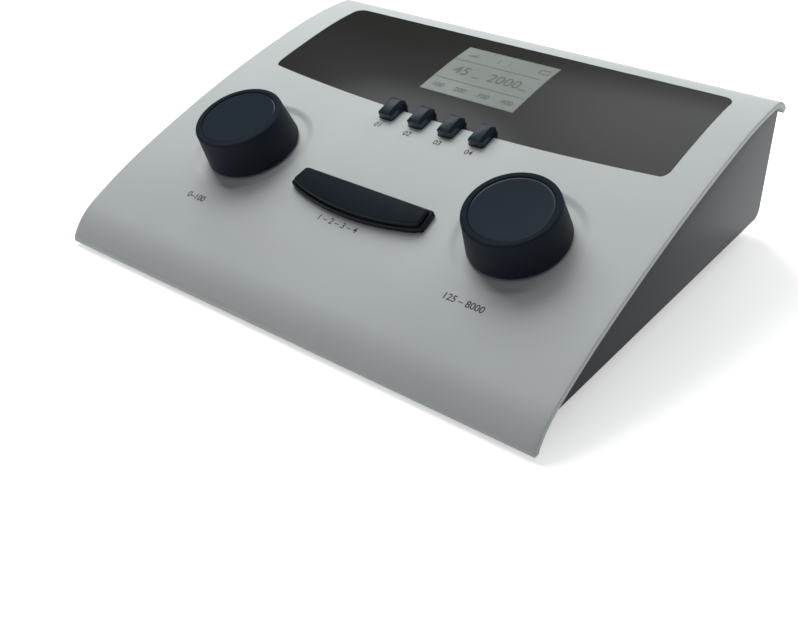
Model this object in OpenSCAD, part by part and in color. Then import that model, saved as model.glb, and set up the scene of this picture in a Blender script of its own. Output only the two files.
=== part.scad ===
// Screening audiometer: a wedge-shaped desktop case with two dials, a tone bar,
// four function keys and a flush display panel.  Millimetres, +Z up, +Y to the rear,
// origin on the table below the middle of the case.

/* [Case] */
// Width of the top cover
cover_w = 225; // [200:1:260]
// Wall thickness of the top cover
cover_wall = 2.4; // [1.8:0.1:2.6]
// Distance from the middle of the case forward to the toe
toe_reach = 87.9; // [86:0.1:90]
// Height of the toe's lower edge above the table
toe_lift = 1.25; // [1:0.05:2]
// Inset of the base's side walls from the ends of the cover
base_inset = 3; // [2:0.5:6]
// Wall thickness of the base
base_wall = 2.2; // [1.8:0.1:3]
// Height of the base's underside above the table
base_lift = 7; // [6.5:0.1:7.5]
// Distance that the base's rear wall stands inside the cover's lip
lip_overhang = 0.5; // [0.4:0.1:2]
// Radius of the base's lower rear edge
base_edge_r = 4; // [3:0.5:6]

/* [Cover curve: tangent arcs from the toe to the rear lip] */
// Radius of the toe's nose
nose_r = 5; // [4.5:0.5:6]
// Angle that the nose turns through
nose_turn = 34; // [33:0.5:35]
// Radius of the toe
toe_r = 31; // [29:0.5:33]
// Angle that the toe turns through
toe_turn = 27.5; // [27:0.5:28]
// Radius of the knee above the toe
knee_r = 260; // [250:1:270]
// Angle that the knee turns through
knee_turn = 7; // [6.8:0.1:7.2]
// Radius of the control slope
slope_r = 625; // [600:5:650]
// Angle that the control slope turns through
slope_turn = 9; // [8.8:0.1:9.2]
// Radius of the shoulder behind the display
shoulder_r = 185; // [180:1:190]
// Angle that the shoulder turns through
shoulder_turn = 9.3; // [9:0.1:9.6]
// Radius of the rear lip
lip_r = 14; // [13:0.5:15]
// Angle that the rear lip turns through
lip_turn = 54; // [52:1:56]

/* [Display] */
// Width of the dark display panel
panel_w = 194.6; // [180:0.2:200]
// Thickness of the display panel, which fills its recess
panel_t = 1.2; // [0.8:0.1:1.3]
// Where the panel's front arc crosses the middle line
panel_front = 10; // [9:0.1:12]
// Where the panel's straight rear edge lies
panel_rear = 71.7; // [70:0.1:73]
// Radius of the panel's front arc, seen from above
panel_arc_r = 860; // [700:10:1000]
// Corner radius of the panel
panel_corner_r = 4.5; // [3:0.5:6]
// Width of the display window
window_w = 47.4; // [44:0.2:50]
// Depth of the display window, seen from above
window_d = 35.4; // [33:0.2:36]
// Where the middle of the window lies
window_y = 44; // [43:0.1:45]
// Play round each inlaid piece
inlay_gap = 0.08; // [0.05:0.01:0.15]

/* [Dials] */
// Distance of each dial from the middle line
dial_x = 65.5; // [60:0.5:70]
// Where the dials lie, front to back
dial_y = -29; // [-31:0.5:-27]
// Radius of a knob at its foot
knob_r = 18.6; // [17:0.2:21]
// Draft of a knob's side, the radius that it loses from foot to top
knob_draft = 1; // [0.6:0.1:2]
// Height of a knob's top above the slope
knob_h = 13.8; // [12:0.2:16]
// Radius of the rounded top edge of a knob
knob_edge_r = 1.1; // [0.6:0.1:2]
// Radius of the glossy disc let into a knob
knob_disc_r = 15; // [13:0.5:15.5]
// Radius of a dial's shaft
shaft_r = 3; // [2.5:0.1:3.2]
// Running clearance of a shaft in its bush, on the radius
shaft_play = 0.05; // [0.02:0.01:0.08]
// Radius of the dished recess round a dial
dish_r = 25.5; // [23:0.5:27]
// Radius of the recess's flat floor
dish_floor_r = 20; // [19:0.5:21]
// Depth of the dished recess
dish_depth = 1; // [0.6:0.1:1.1]

/* [Function keys] */
// Pitch of the four function keys
key_pitch = 15; // [14:0.5:16]
// Width of a function key
key_w = 7; // [6:0.2:8]
// Length of a function key, along the slope
key_l = 10.8; // [10:0.2:12]
// Height of a key's top above the slope
key_h = 3.7; // [3:0.1:4.5]
// Where the middle of the keys lies, measured up the slope from the dials
key_v = 39.4; // [38:0.2:41]
// Travel of a function key
key_travel = 0.6; // [0.4:0.1:0.8]
// Play round the keys and the tone bar in their holes
button_gap = 0.25; // [0.2:0.05:0.35]

/* [Tone bar] */
// Half width of the tone bar at its front corners
bar_front_x = 30.8; // [29:0.2:32]
// Half width of the tone bar at its rear corners
bar_rear_x = 30; // [28:0.2:31]
// Front corners of the bar, measured up the slope from the dials
bar_corner_v = -11.9; // [-13:0.1:-11]
// Rear edge of the bar, measured up the slope from the dials
bar_rear_v = -4; // [-5:0.2:-3]
// Radius of the bar's front arc
bar_arc_r = 101; // [90:1:120]
// Height of the bar's top above the slope
bar_h = 3.8; // [3.4:0.1:4.6]
// Height of the fixed collar round the bar
collar_h = 2; // [1.4:0.1:2.4]
// Width of the collar in front and at the ends
collar_w = 1.4; // [1.2:0.1:2]
// Travel of the tone bar
bar_travel = 1.2; // [0.8:0.1:1.4]

/* [Boards] */
// Depth of the main board's upper face below the slope
board_depth = 11; // [10.8:0.1:11.4]
// Thickness of every circuit board
board_t = 1.6; // [1.2:0.2:1.6]
// Radius of the pilot hole for a board screw
pilot_r = 1; // [0.9:0.05:1.1]

/* [Rear sockets] */
// Height of the sockets' middle line above the table
socket_z = 36.6; // [36:0.2:38]
// Radius of a phone socket's bore, for a 6.35 mm plug
jack_bore_r = 3.25; // [3.2:0.01:3.3]
// Length of a phone socket's bore
jack_bore_l = 20; // [18:1:22]
// Radius of a phone socket's nose
jack_nose_r = 5; // [4.6:0.1:5.6]

/* [Batteries] */
// Radius of an AA cell
cell_r = 7.1; // [7:0.05:7.2]
// Length of an AA cell, button included
cell_l = 50.4; // [50:0.1:50.6]
// Thickness of the battery door
door_t = 2; // [1.8:0.1:2.1]
// Travel of the battery door along its grooves
door_travel = 44; // [35:1:46]

/* [Feet] */
// Radius of a rubber foot
foot_r = 7; // [6:0.5:8]
// Height of a rubber foot
foot_h = 3.7; // [3.4:0.1:4]

/* [Hidden] */
$fn = 64;

case_grey = [0.80, 0.82, 0.81];
base_grey = [0.33, 0.35, 0.36];
knob_black = [0.06, 0.07, 0.10];
disc_black = [0.14, 0.17, 0.20];
panel_black = [0.16, 0.17, 0.16];
lcd_grey = [0.57, 0.59, 0.55];
board_green = [0.10, 0.35, 0.20];
steel = [0.72, 0.73, 0.75];
plastic_black = [0.08, 0.08, 0.09];

seat_gap = 0.1;
fit_gap = 0.2;
// How far the opening below the window, and the window's own depth, pass the panel
window_sill = 0.6;
eps = 0.01;

// ---- Cover curve -----------------------------------------------------------
// Each arc is [radius, turn, number of flats].  Headings fall from 90 at the toe.
ARCS = [
    [nose_r, nose_turn, 6], [toe_r, toe_turn, 8], [knee_r, knee_turn, 6],
    [slope_r, slope_turn, 16], [shoulder_r, shoulder_turn, 8], [lip_r, lip_turn, 12]
];
LIP = len(ARCS) - 1;
SHOULDER = LIP - 1;
SLOPE = LIP - 2;

function heading(i) = i == 0 ? 90 : heading(i - 1) - ARCS[i - 1][1];
function along(centre, r, a) = centre + r * [-sin(a), cos(a)];
function arc_start(i) = i == 0
    ? [-toe_reach, toe_lift]
    : along(arc_centre(i - 1), ARCS[i - 1][0], heading(i));
function arc_centre(i) = arc_start(i) - along([0, 0], ARCS[i][0], heading(i));

// Points of the cover's surface at a depth below the outside, toe to lip.
function curve(depth) = concat(
    [along(arc_centre(0), ARCS[0][0] - depth, heading(0))],
    [for (i = [0 : len(ARCS) - 1])
        let (c = arc_centre(i), r = ARCS[i][0] - depth, n = ARCS[i][2])
        for (k = [1 : n]) along(c, r, heading(i) - ARCS[i][1] * k / n)]
);
function turned(list) = [for (i = [len(list) - 1 : -1 : 0]) list[i]];

// Height and slope of the outside at a place on arc i.
function arc_z(i, y) =
    let (c = arc_centre(i)) c[1] + sqrt(pow(ARCS[i][0], 2) - pow(y - c[0], 2));
function arc_tilt(i, y) = asin((arc_centre(i)[0] - y) / ARCS[i][0]);

lip_end = along(arc_centre(LIP), lip_r, heading(LIP) - lip_turn);
lip_inner = along(arc_centre(LIP), lip_r - cover_wall, heading(LIP) - lip_turn);
rear_y = lip_end[0] - lip_overhang;
// A height above the whole case, for cutters that run out at the top.
sky = lip_end[1] + 40;
rear_top_z = lip_inner[1] - 0.4;
base_w = cover_w - 2 * base_inset;

dial_tilt = arc_tilt(SLOPE, dial_y);
dial_z = arc_z(SLOPE, dial_y);
window_tilt = (arc_tilt(SLOPE, window_y) + arc_tilt(SHOULDER, window_y)) / 2;
window_z = arc_z(SLOPE, window_y);
// Fall of the slope's arc below the plane that touches it at the dials.
function sag(v) = slope_r - sqrt(slope_r * slope_r - v * v);
key_sag = sag(key_v);

// Turns a side outline in (y, z) into a bar across the case.
module across(width) {
    rotate([90, 0, 90]) linear_extrude(width, center = true) children();
}
// Solid between two depths of the cover curve.
module skin(outer, inner, width) {
    across(width) polygon(concat(curve(outer), turned(curve(inner))));
}
// Everything below one depth of the cover curve, down to the base's underside.
module under(depth, width) {
    line = curve(depth);
    across(width) polygon(concat(line, [[line[len(line) - 1][0], -1], [line[0][0], -1]]));
}
// Frame of the controls: z leaves the slope at the dials, y climbs it.
module on_slope() {
    translate([0, dial_y, dial_z]) rotate([dial_tilt, 0, 0]) children();
}
// Frame of the display, in the middle of its window.
module on_window() {
    translate([0, window_y, window_z]) rotate([window_tilt, 0, 0]) children();
}
// Box centred in x and y, from z0 up to z1.
module block(w, d, z0, z1) {
    translate([-w / 2, -d / 2, z0]) cube([w, d, z1 - z0]);
}
module rod(r, z0, z1) {
    translate([0, 0, z0]) cylinder(r = r, h = z1 - z0);
}
module both_sides() {
    for (s = [-1, 1]) translate([s * dial_x, 0, 0]) children();
}
module corners(x, y0, y1) {
    for (s = [-1, 1], y = [y0, y1]) translate([s * x, y, 0]) children();
}

// ---- Outlines with rounded corners -----------------------------------------
// Each corner is [x, y, radius]; a radius of 0 stays a plain point.
function unit(v) = v / norm(v);
function xy(p) = [p[0], p[1]];
function fillet(a, b, c, r) = r == 0 ? [b] :
    let (
        u = unit(a - b), w = unit(c - b), half = acos(u * w) / 2,
        centre = b + unit(u + w) * r / sin(half),
        from = b + u * r / tan(half) - centre,
        to = b + w * r / tan(half) - centre,
        a0 = atan2(from[1], from[0]), span = atan2(to[1], to[0]) - a0,
        turn = span > 180 ? span - 360 : span < -180 ? span + 360 : span
    )
    [for (k = [0 : 6]) centre + r * [cos(a0 + turn * k / 6), sin(a0 + turn * k / 6)]];
function outline(corners) =
    let (n = len(corners))
    [for (i = [0 : n - 1]) each fillet(
        xy(corners[(i + n - 1) % n]), xy(corners[i]), xy(corners[(i + 1) % n]), corners[i][2])];
function rect(w, d, r) = outline([
    [-w / 2, -d / 2, r], [w / 2, -d / 2, r], [w / 2, d / 2, r], [-w / 2, d / 2, r]]);
// Forward bulge of an arc of radius r at x, below its own corners at half width w.
function bulge(r, w, x) = sqrt(r * r - x * x) - sqrt(r * r - w * w);

// ---- Display panel ---------------------------------------------------------
function panel_outline(gap) =
    let (
        w = panel_w / 2 - gap,
        front = panel_front + bulge(panel_arc_r, panel_w / 2, 0) + gap,
        inner = w - 3 * panel_corner_r
    )
    outline(concat(
        [[w, front, panel_corner_r], [w, panel_rear - gap, panel_corner_r],
         [-w, panel_rear - gap, panel_corner_r], [-w, front, panel_corner_r]],
        [for (k = [0 : 16])
            let (x = inner * (k / 8 - 1)) [x, front - bulge(panel_arc_r, panel_w / 2, x), 0]]
    ));
module window_prism(gap) {
    translate([0, window_y, 0]) linear_extrude(sky)
        polygon(rect(window_w - 2 * gap, window_d - 2 * gap, 0.8));
}
module key_places() {
    for (k = [0 : 3]) key_place(k) children();
}
module key_place(k) {
    on_slope() translate([(k - 1.5) * key_pitch, key_v, -key_sag]) children();
}
module key_prism(gap, z0, z1) {
    translate([0, 0, z0]) linear_extrude(z1 - z0)
        polygon(rect(key_w + 2 * gap, key_l + 2 * gap, 1.2));
}

// ---- Tone bar outline ------------------------------------------------------
function bar_outline(grow_front, grow_rear, radius) =
    let (
        wf = bar_front_x + grow_front, wr = bar_rear_x + grow_front,
        corner = bar_corner_v - grow_front * 0.4, inner = wf - 4.5,
        arc = bar_arc_r + grow_front
    )
    outline(concat(
        [[wf, corner, radius], [wr, bar_rear_v + grow_rear, radius],
         [-wr, bar_rear_v + grow_rear, radius], [-wf, corner, radius]],
        [for (k = [0 : 12])
            let (x = inner * (k / 6 - 1)) [x, corner - bulge(arc, wf, x), 0]]
    ));
module bar_prism(grow_front, grow_rear, radius, z0, z1) {
    translate([0, 0, z0]) linear_extrude(z1 - z0)
        polygon(bar_outline(grow_front, grow_rear, radius));
}
bar_mid_v = bar_rear_v - 5.6;

// ---- Fasteners and bosses --------------------------------------------------
case_x = cover_w / 2 - 11.5;
case_front_y = 45.9 - toe_reach;
case_rear_y = rear_y - 17.25;
boss_r = 4;
screw_r = 1.4;
screw_hole_r = 1.7;
head_r = 2.9;
head_h = 2.2;
head_seat_z = 14;
thread_play = 0.05;
case_screw_bite = 6;
board_screw_bite = 3.8;
split_front_z = 19;
split_rear_z = 34;
board_half_x = cover_w / 2 - 20.5;
board_screw_x = board_half_x - 6;
board_front_v = -19;
board_rear_v = 43;
board_boss_r = 2.6;
lcd_screw_x = 32.2;
lcd_screw_v = 20.5;
lcd_top = -4;
lcd_board_top = -9.2;

module case_screw_places() {
    corners(case_x, case_front_y, case_rear_y) children();
}

module top_cover() {
    color(case_grey) {
        difference() {
            skin(0, cover_wall, cover_w);
            intersection() {
                skin(-1, panel_t, cover_w);
                linear_extrude(sky) polygon(panel_outline(0));
            }
            window_prism(-window_sill);
            on_slope() both_sides() {
                dish();
                rod(bush_r + 0.15, -8, 1);
            }
            key_places() key_prism(button_gap, -6, 3);
            on_slope() bar_prism(collar_root, collar_root, 1.2, -6, 3);
        }
        cover_bosses();
    }
}
// The cutter of the shallow dished recess: a cap of a large ball, cut off at its floor.
module dish() {
    rise = (dish_r * dish_r - dish_floor_r * dish_floor_r - dish_depth * dish_depth) / (2 * dish_depth);
    intersection() {
        translate([0, 0, rise]) sphere(sqrt(rise * rise + dish_r * dish_r), $fn = 256);
        rod(dish_r + 1, -dish_depth, dish_r);
    }
}
module cover_bosses() {
    intersection() {
        under(cover_wall - 0.3, cover_w);
        union() {
            for (s = [-1, 1]) {
                translate([s * case_x, case_front_y, 0]) case_boss(split_front_z);
                translate([s * case_x, case_rear_y, 0]) case_boss(split_rear_z);
            }
            on_slope() corners(board_screw_x, board_front_v, board_rear_v)
                board_boss(-board_depth, 4);
            on_window() corners(lcd_screw_x, -lcd_screw_v, lcd_screw_v)
                board_boss(lcd_board_top, 4);
        }
    }
}
module case_boss(z0) {
    difference() {
        rod(boss_r, z0, sky);
        rod(screw_r + thread_play, z0 - 1, z0 + case_screw_bite + 1);
    }
}
module board_boss(z0, z1) {
    difference() {
        rod(board_boss_r, z0, z1);
        rod(pilot_r, z0 - 1, z0 + board_screw_bite + 0.5);
    }
}

module base_housing() {
    color(base_grey) difference() {
        union() {
            intersection() {
                under_base(base_w);
                difference() {
                    base_side_prism(base_w);
                    tray_room(base_w - 2 * base_wall);
                }
            }
            intersection() {
                under_base(base_w);
                union() {
                    base_pillars();
                    battery_bay();
                    board_posts();
                }
            }
            foot_bosses();
        }
        case_screw_places() {
            rod(screw_hole_r, base_lift - 1, sky);
            rod(head_r + 0.3, base_lift - 1, head_seat_z);
        }
        door_room();
        rear_wall_holes();
    }
}
// What may be filled below the cover: the cover's inside less a seating gap.
module under_base(width) {
    depth = cover_wall + seat_gap;
    line = [for (p = curve(depth)) if (p[0] < lip_inner[0] - 3 || p[1] > rear_top_z + 4) p];
    across(width) polygon(concat(
        line, [[lip_inner[0] - fit_gap, rear_top_z], [rear_y + 1, rear_top_z],
        [rear_y + 1, 0], [line[0][0], 0]]));
}
// Side outline of the base, with its rounded lower rear edge.
module base_side_prism(width) {
    across(width) polygon(outline([
        [-toe_reach, base_lift, 0], [rear_y, base_lift, base_edge_r],
        [rear_y, sky, 0], [-toe_reach, sky, 0]]));
}
module tray_room(width) {
    across(width) polygon(outline([
        [-toe_reach, base_lift + base_wall, 0],
        [rear_y - base_wall, base_lift + base_wall, base_edge_r - base_wall],
        [rear_y - base_wall, sky + 1, 0], [-toe_reach, sky + 1, 0]]));
}
module base_pillars() {
    for (s = [-1, 1]) {
        translate([s * case_x, case_front_y, 0]) rod(boss_r + 0.6, base_lift, split_front_z - seat_gap);
        translate([s * case_x, case_rear_y, 0]) rod(boss_r + 0.6, base_lift, split_rear_z - seat_gap);
    }
}

// ---- Battery bay -----------------------------------------------------------
bay_x = cell_l / 2 + 1.2;
bay_wall = 1.2;
cell_pitch = 2 * cell_r + 0.1;
bay_rear_y = rear_y - base_wall;
cell_rear_y = bay_rear_y - cell_r - 0.5;
bay_front_y = cell_rear_y - 2 * cell_pitch - cell_r - 0.5;
door_top = base_lift + door_t;
cell_z = door_top + 0.4 + cell_r;
bay_top = cell_z + cell_r + 0.4;
door_x = bay_x + 2;
tongue = 1.2;
tongue_l = door_travel - 1.2;
grip_x = 12;
module battery_bay() {
    y0 = bay_front_y - bay_wall;
    difference() {
        translate([-bay_x - bay_wall, y0, base_lift])
            cube([2 * (bay_x + bay_wall), bay_rear_y - y0 + eps, bay_top + bay_wall - base_lift]);
        translate([-bay_x, bay_front_y, base_lift - 1])
            cube([2 * bay_x, bay_rear_y - bay_front_y, bay_top - base_lift + 1]);
    }
}
// Room for the battery door, its tongues and its way out to the rear.
module door_room() {
    translate([-door_x, bay_front_y - 3, base_lift - 1])
        cube([2 * door_x, rear_y, door_t + fit_gap + 1]);
    translate([-door_x - tongue, bay_front_y - 3, base_lift + 0.6])
        cube([2 * (door_x + tongue), rear_y, door_t - 0.6 + fit_gap]);
    translate([-bay_x, bay_front_y, base_lift - 1])
        cube([2 * bay_x, bay_rear_y - bay_front_y, 4]);
}
module battery_door() {
    gap = fit_gap;
    y0 = bay_front_y - 3 + gap;
    color(base_grey) intersection() {
        base_side_prism(base_w);
        difference() {
            union() {
                translate([-door_x + gap, y0, base_lift])
                    cube([2 * (door_x - gap), rear_y - y0, door_t]);
                translate([-door_x - tongue + gap, y0, base_lift + 0.8])
                    cube([2 * (door_x + tongue - gap), tongue_l, door_t - 0.8]);
            }
            for (k = [0 : 4]) translate([-grip_x, rear_y - 26 + 3 * k, base_lift - 1])
                cube([2 * grip_x, 1.4, 1.5]);
        }
    }
}
module battery_cells() {
    for (k = [0 : 2]) translate([0, cell_rear_y - k * cell_pitch, cell_z])
        rotate([0, 90, 0]) {
            color("#3d5a80") rod(cell_r, -cell_l / 2, cell_l / 2 - 1.2);
            color(steel) rod(2.7, cell_l / 2 - 1.2 - eps, cell_l / 2);
        }
}
module battery_contacts() {
    plate = 0.5;
    color(steel) for (k = [0 : 2], s = [-1, 1])
        translate([s * (bay_x - plate / 2), cell_rear_y - k * cell_pitch, cell_z])
            cube([plate, 8, 9], center = true);
}

// ---- Rear board and sockets ------------------------------------------------
rear_board_z = socket_z - 6;
rear_board_x = board_half_x;
rear_board_y0 = rear_y - 29.25;
rear_board_y1 = bay_rear_y - 0.6;
socket_w = 12;
right_socket_x = 40.5 - cover_w / 2;
left_socket_x = right_socket_x + 26;
response_x = left_socket_x + 28;
usb_x = 22;
usb_w = 12;
usb_h = 10.9;
usb_depth = 16;
rocker_x = cover_w / 2 - 46.5;
rocker_w = 9;
rocker_l = 15;
rocker_swing = 14;
switch_w = 13;
switch_h = 19;
post_x = rear_board_x - 3.8;
module board_posts() {
    for (s = [-1, 1], y = [rear_board_y0 + 4, rear_board_y1 - 4])
        translate([s * post_x, y, 0]) rod(3, base_lift, rear_board_z - board_t);
}
module rear_board() {
    color(board_green) difference() {
        translate([-rear_board_x, rear_board_y0, rear_board_z - board_t])
            cube([2 * rear_board_x, rear_board_y1 - rear_board_y0, board_t]);
        translate([rocker_x, 0, 0]) rotate([-90, 0, 0]) translate([0, -socket_z, 0])
            block(switch_w + 2, switch_h + 14, rear_board_y0 + 6, rear_y);
    }
}
module socket_place(x) {
    translate([x, rear_y - 0.2, socket_z]) rotate([90, 0, 0]) children();
}
// A 6.35 mm phone socket: square body on the board, round nose in the rear wall.
module phone_socket(x) {
    color(plastic_black) socket_place(x) difference() {
        union() {
            block(socket_w, socket_w, base_wall + 0.2, 25);
            rod(jack_nose_r, 0, base_wall + 0.2 + eps);
        }
        rod(jack_bore_r, -1, jack_bore_l);
    }
}
module left_phone_socket() { phone_socket(left_socket_x); }
module right_phone_socket() { phone_socket(right_socket_x); }
module response_socket() { phone_socket(response_x); }
module usb_socket() {
    color(steel) socket_place(usb_x) difference() {
        block(usb_w, usb_h, 0.4, usb_depth);
        block(usb_w - 2.4, usb_h - 2.4, -1, 9);
    }
    color(plastic_black) socket_place(usb_x) block(5.6, 3.2, 2, 9 + eps);
}
module power_switch() {
    color(plastic_black) socket_place(rocker_x) difference() {
        block(switch_w, switch_h, 0.8, 15);
        block(rocker_w + 0.6, rocker_l + 1.6, 0, 8);
    }
    color(plastic_black) socket_place(rocker_x) for (s = [-1, 1])
        translate([s * (rocker_w / 2 + 0.3), 0, rocker_axis_depth]) rotate([0, s * 90, 0])
            translate([0, 0, -1.1]) cylinder(r = 0.9, h = 1.2);
}
rocker_axis_depth = 5;
rocker_crown = 4.6;
module power_rocker() {
    half = rocker_l / 2;
    swing = rocker_swing / 2;
    color(knob_black) socket_place(rocker_x) translate([0, 0, rocker_axis_depth])
        rotate([swing, 0, 0]) difference() {
            rotate([90, 0, 90]) linear_extrude(rocker_w, center = true) polygon([
                [-half, -rocker_crown + 0.3], [-half + 1.2, 0.5], [-2.2, 2], [2.2, 2],
                [half - 1.2, 0.5], [half, -rocker_crown + 0.3], [half - 0.8, -rocker_crown],
                [0, -rocker_crown + 1.2], [-half + 0.8, -rocker_crown]]);
            for (s = [-1, 1]) translate([s * (rocker_w / 2), 0, 0]) rotate([0, s * 90, 0])
                translate([0, 0, -1.1]) cylinder(r = 0.95, h = 2);
        }
}
module rear_wall_holes() {
    for (x = [left_socket_x, right_socket_x, response_x])
        socket_place(x) rod(jack_nose_r + fit_gap, -2, 2 * base_wall);
    socket_place(usb_x) block(usb_w + 2 * fit_gap, usb_h + 2 * fit_gap, -2, 2 * base_wall);
    socket_place(rocker_x) block(switch_w + 2 * seat_gap, switch_h + 2 * seat_gap, -2, 2 * base_wall);
}

// ---- Display stack ---------------------------------------------------------
glass_w = 54;
glass_d = 38.5;
glass_t = 1.8;
light_t = 2;
frame_rim = 1.6;
lcd_board_w = 70;
lcd_board_d = 47;
module display_panel() {
    color(panel_black) difference() {
        intersection() {
            skin(0, panel_t - seat_gap / 2, cover_w);
            linear_extrude(sky) polygon(panel_outline(inlay_gap));
        }
        window_prism(0);
        key_places() key_prism(button_gap, -3, 3);
    }
}
module display_window() {
    color(lcd_grey) intersection() {
        skin(0.05, panel_t + window_sill, cover_w);
        window_prism(inlay_gap);
    }
}
module lcd_glass() {
    color([0.6, 0.65, 0.6]) on_window() block(glass_w, glass_d, lcd_top - 0.6 - glass_t, lcd_top - 0.6);
}
module backlight() {
    z1 = lcd_top - 0.6 - glass_t - 0.05;
    color([0.9, 0.95, 0.85]) on_window() block(glass_w, glass_d, z1 - light_t, z1);
}
module lcd_frame() {
    color(steel) on_window() difference() {
        block(glass_w + 2 * frame_rim, glass_d + frame_rim, lcd_board_top + 0.05, lcd_top);
        block(glass_w + 0.2, glass_d + 0.2, lcd_board_top - 1, lcd_top - 0.55);
        block(window_w + 1, window_d - 0.6, lcd_top - 2, lcd_top + 1);
    }
}
module lcd_board() {
    color(board_green) on_window() difference() {
        block(lcd_board_w, lcd_board_d, lcd_board_top - board_t, lcd_board_top);
        corners(lcd_screw_x, -lcd_screw_v, lcd_screw_v)
            rod(pilot_r + 0.3, lcd_board_top - 3, lcd_board_top + 1);
    }
}
module lcd_screws() {
    color(steel) on_window() corners(lcd_screw_x, -lcd_screw_v, lcd_screw_v)
        board_screw(lcd_board_top - board_t);
}
// A pan-head screw that comes up through a board whose lower face is at z.
module board_screw(z) {
    rod(1.9, z - 1.3, z);
    rod(pilot_r - thread_play, z - eps, z + board_t + board_screw_bite);
}

// ---- Main board ------------------------------------------------------------
board_v0 = -24;
board_v1 = 46;
board_top = -board_depth;
module main_board() {
    color(board_green) on_slope() difference() {
        translate([-board_half_x, board_v0, board_top - board_t])
            cube([2 * board_half_x, board_v1 - board_v0, board_t]);
        corners(board_screw_x, board_front_v, board_rear_v)
            rod(pilot_r + 0.3, board_top - 3, board_top + 1);
    }
}
module board_screws() {
    color(steel) on_slope() corners(board_screw_x, board_front_v, board_rear_v)
        board_screw(board_top - board_t);
}
chip_v = board_v0 + 41;
chip_x = 24;
capacitor_x = 44;
module board_chips() {
    color(plastic_black) on_slope() translate([0, 0, board_top]) {
        translate([0, chip_v - 1, 0]) block(14, 14, 0, 1.6);
        translate([-chip_x, chip_v, 0]) block(10, 8, 0, 1.4);
        translate([chip_x, chip_v, 0]) block(9, 12, 0, 1.4);
        translate([0, board_v1 - 1.8, 0]) block(22, 3, 0, 2.4);
        for (s = [-1, 1]) translate([s * capacitor_x, chip_v - 3, 0]) rod(4, 0, 6);
    }
}

// ---- Dials -----------------------------------------------------------------
bush_r = 3.5;
bush_top = 2.4;
encoder_w = 13;
encoder_h = 6.8;
knob_floor = 0.1;
knob_skin = 2;
disc_pocket = 1.5;
disc_dish = 0.35;
shaft_top = knob_h - disc_pocket - 1.6;
module encoder() {
    color(steel) on_slope() difference() {
        union() {
            block(encoder_w, encoder_w, board_top, board_top + encoder_h);
            rod(bush_r, board_top + encoder_h - eps, bush_top);
        }
        rod(shaft_r + shaft_play, board_top + 1.2, bush_top + 1);
    }
}
module left_encoder() { translate([-dial_x, 0, 0]) encoder(); }
module right_encoder() { translate([dial_x, 0, 0]) encoder(); }
module shaft() {
    color(steel) on_slope() rod(shaft_r, board_top + 1.4, shaft_top);
}
module left_shaft() { translate([-dial_x, 0, 0]) shaft(); }
module right_shaft() { translate([dial_x, 0, 0]) shaft(); }
// Turned shell with a drafted side, rounded top edge, pocket for the disc and hub.
module knob() {
    top_r = knob_r - knob_draft;
    e = knob_edge_r;
    roof = knob_h - disc_pocket - 1.6;
    color(knob_black) on_slope() rotate_extrude($fn = 128) polygon([
        [shaft_r + 0.02, bush_top + 1], [shaft_r + 3, bush_top + 1], [shaft_r + 3, roof],
        [top_r - knob_skin, roof], [knob_r - knob_skin, knob_floor],
        [knob_r - 0.4, knob_floor], [knob_r, knob_floor + 0.4],
        for (k = [0 : 8]) let (a = 90 * k / 8)
            [top_r - e + e * cos(a), knob_h - e + e * sin(a)],
        [knob_disc_r + 0.1, knob_h], [knob_disc_r + 0.1, knob_h - disc_pocket],
        [0, knob_h - disc_pocket], [0, roof], [shaft_r + 0.02, roof]
    ]);
}
module left_knob() { translate([-dial_x, 0, 0]) knob(); }
module right_knob() { translate([dial_x, 0, 0]) knob(); }
// Glossy disc with a shallow dished face and a small bevel.
module knob_disc() {
    z0 = knob_h - disc_pocket;
    z1 = knob_h - 0.25;
    color(disc_black) on_slope() rotate_extrude($fn = 128) polygon([
        [0, z0], [knob_disc_r, z0], [knob_disc_r, z1 - 0.3], [knob_disc_r - 0.3, z1],
        for (k = [6 : -1 : 0]) let (t = k / 6)
            [(knob_disc_r - 1) * t, z1 - disc_dish * (1 - t * t)]
    ]);
}
module left_knob_disc() { translate([-dial_x, 0, 0]) knob_disc(); }
module right_knob_disc() { translate([dial_x, 0, 0]) knob_disc(); }

// ---- Function keys ---------------------------------------------------------
key_flange = 0.9;
key_flange_t = 1;
key_flange_top = -cover_wall - 0.7;
key_stem_end = -5.3;
switch_top = key_stem_end - key_travel - 0.2;
board_in_key = board_top + key_sag;
// Crowned, chamfered cap on a flange that keeps it in the cover, with a stem.
module function_key(k) {
    color(knob_black) key_place(k) {
        intersection() {
            key_prism(0, key_flange_top, key_h);
            key_crown();
            key_chamfer();
        }
        block(key_w + 2 * key_flange, key_l + 2 * key_flange,
            key_flange_top - key_flange_t, key_flange_top + eps);
        block(3, 3, key_stem_end, key_flange_top);
    }
}
// Side outline of a key: a crowned top, lower behind, and a sloped rear end.
module key_crown() {
    h = key_l / 2;
    rotate([90, 0, 90]) linear_extrude(key_w + 2, center = true) polygon([
        [-h - 1, key_flange_top - 1], [h + 1, key_flange_top - 1], [h + 1, 1.4], [h - 0.4, 2.4],
        [h - 1.8, key_h - 0.25],
        for (t = [0.6 : -0.2 : -0.8]) [h * t, key_h - 0.22 * t * t],
        [-h + 0.3, key_h - 0.45], [-h - 0.2, key_h - 1.1], [-h - 1, key_h - 1.2]]);
}
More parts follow.
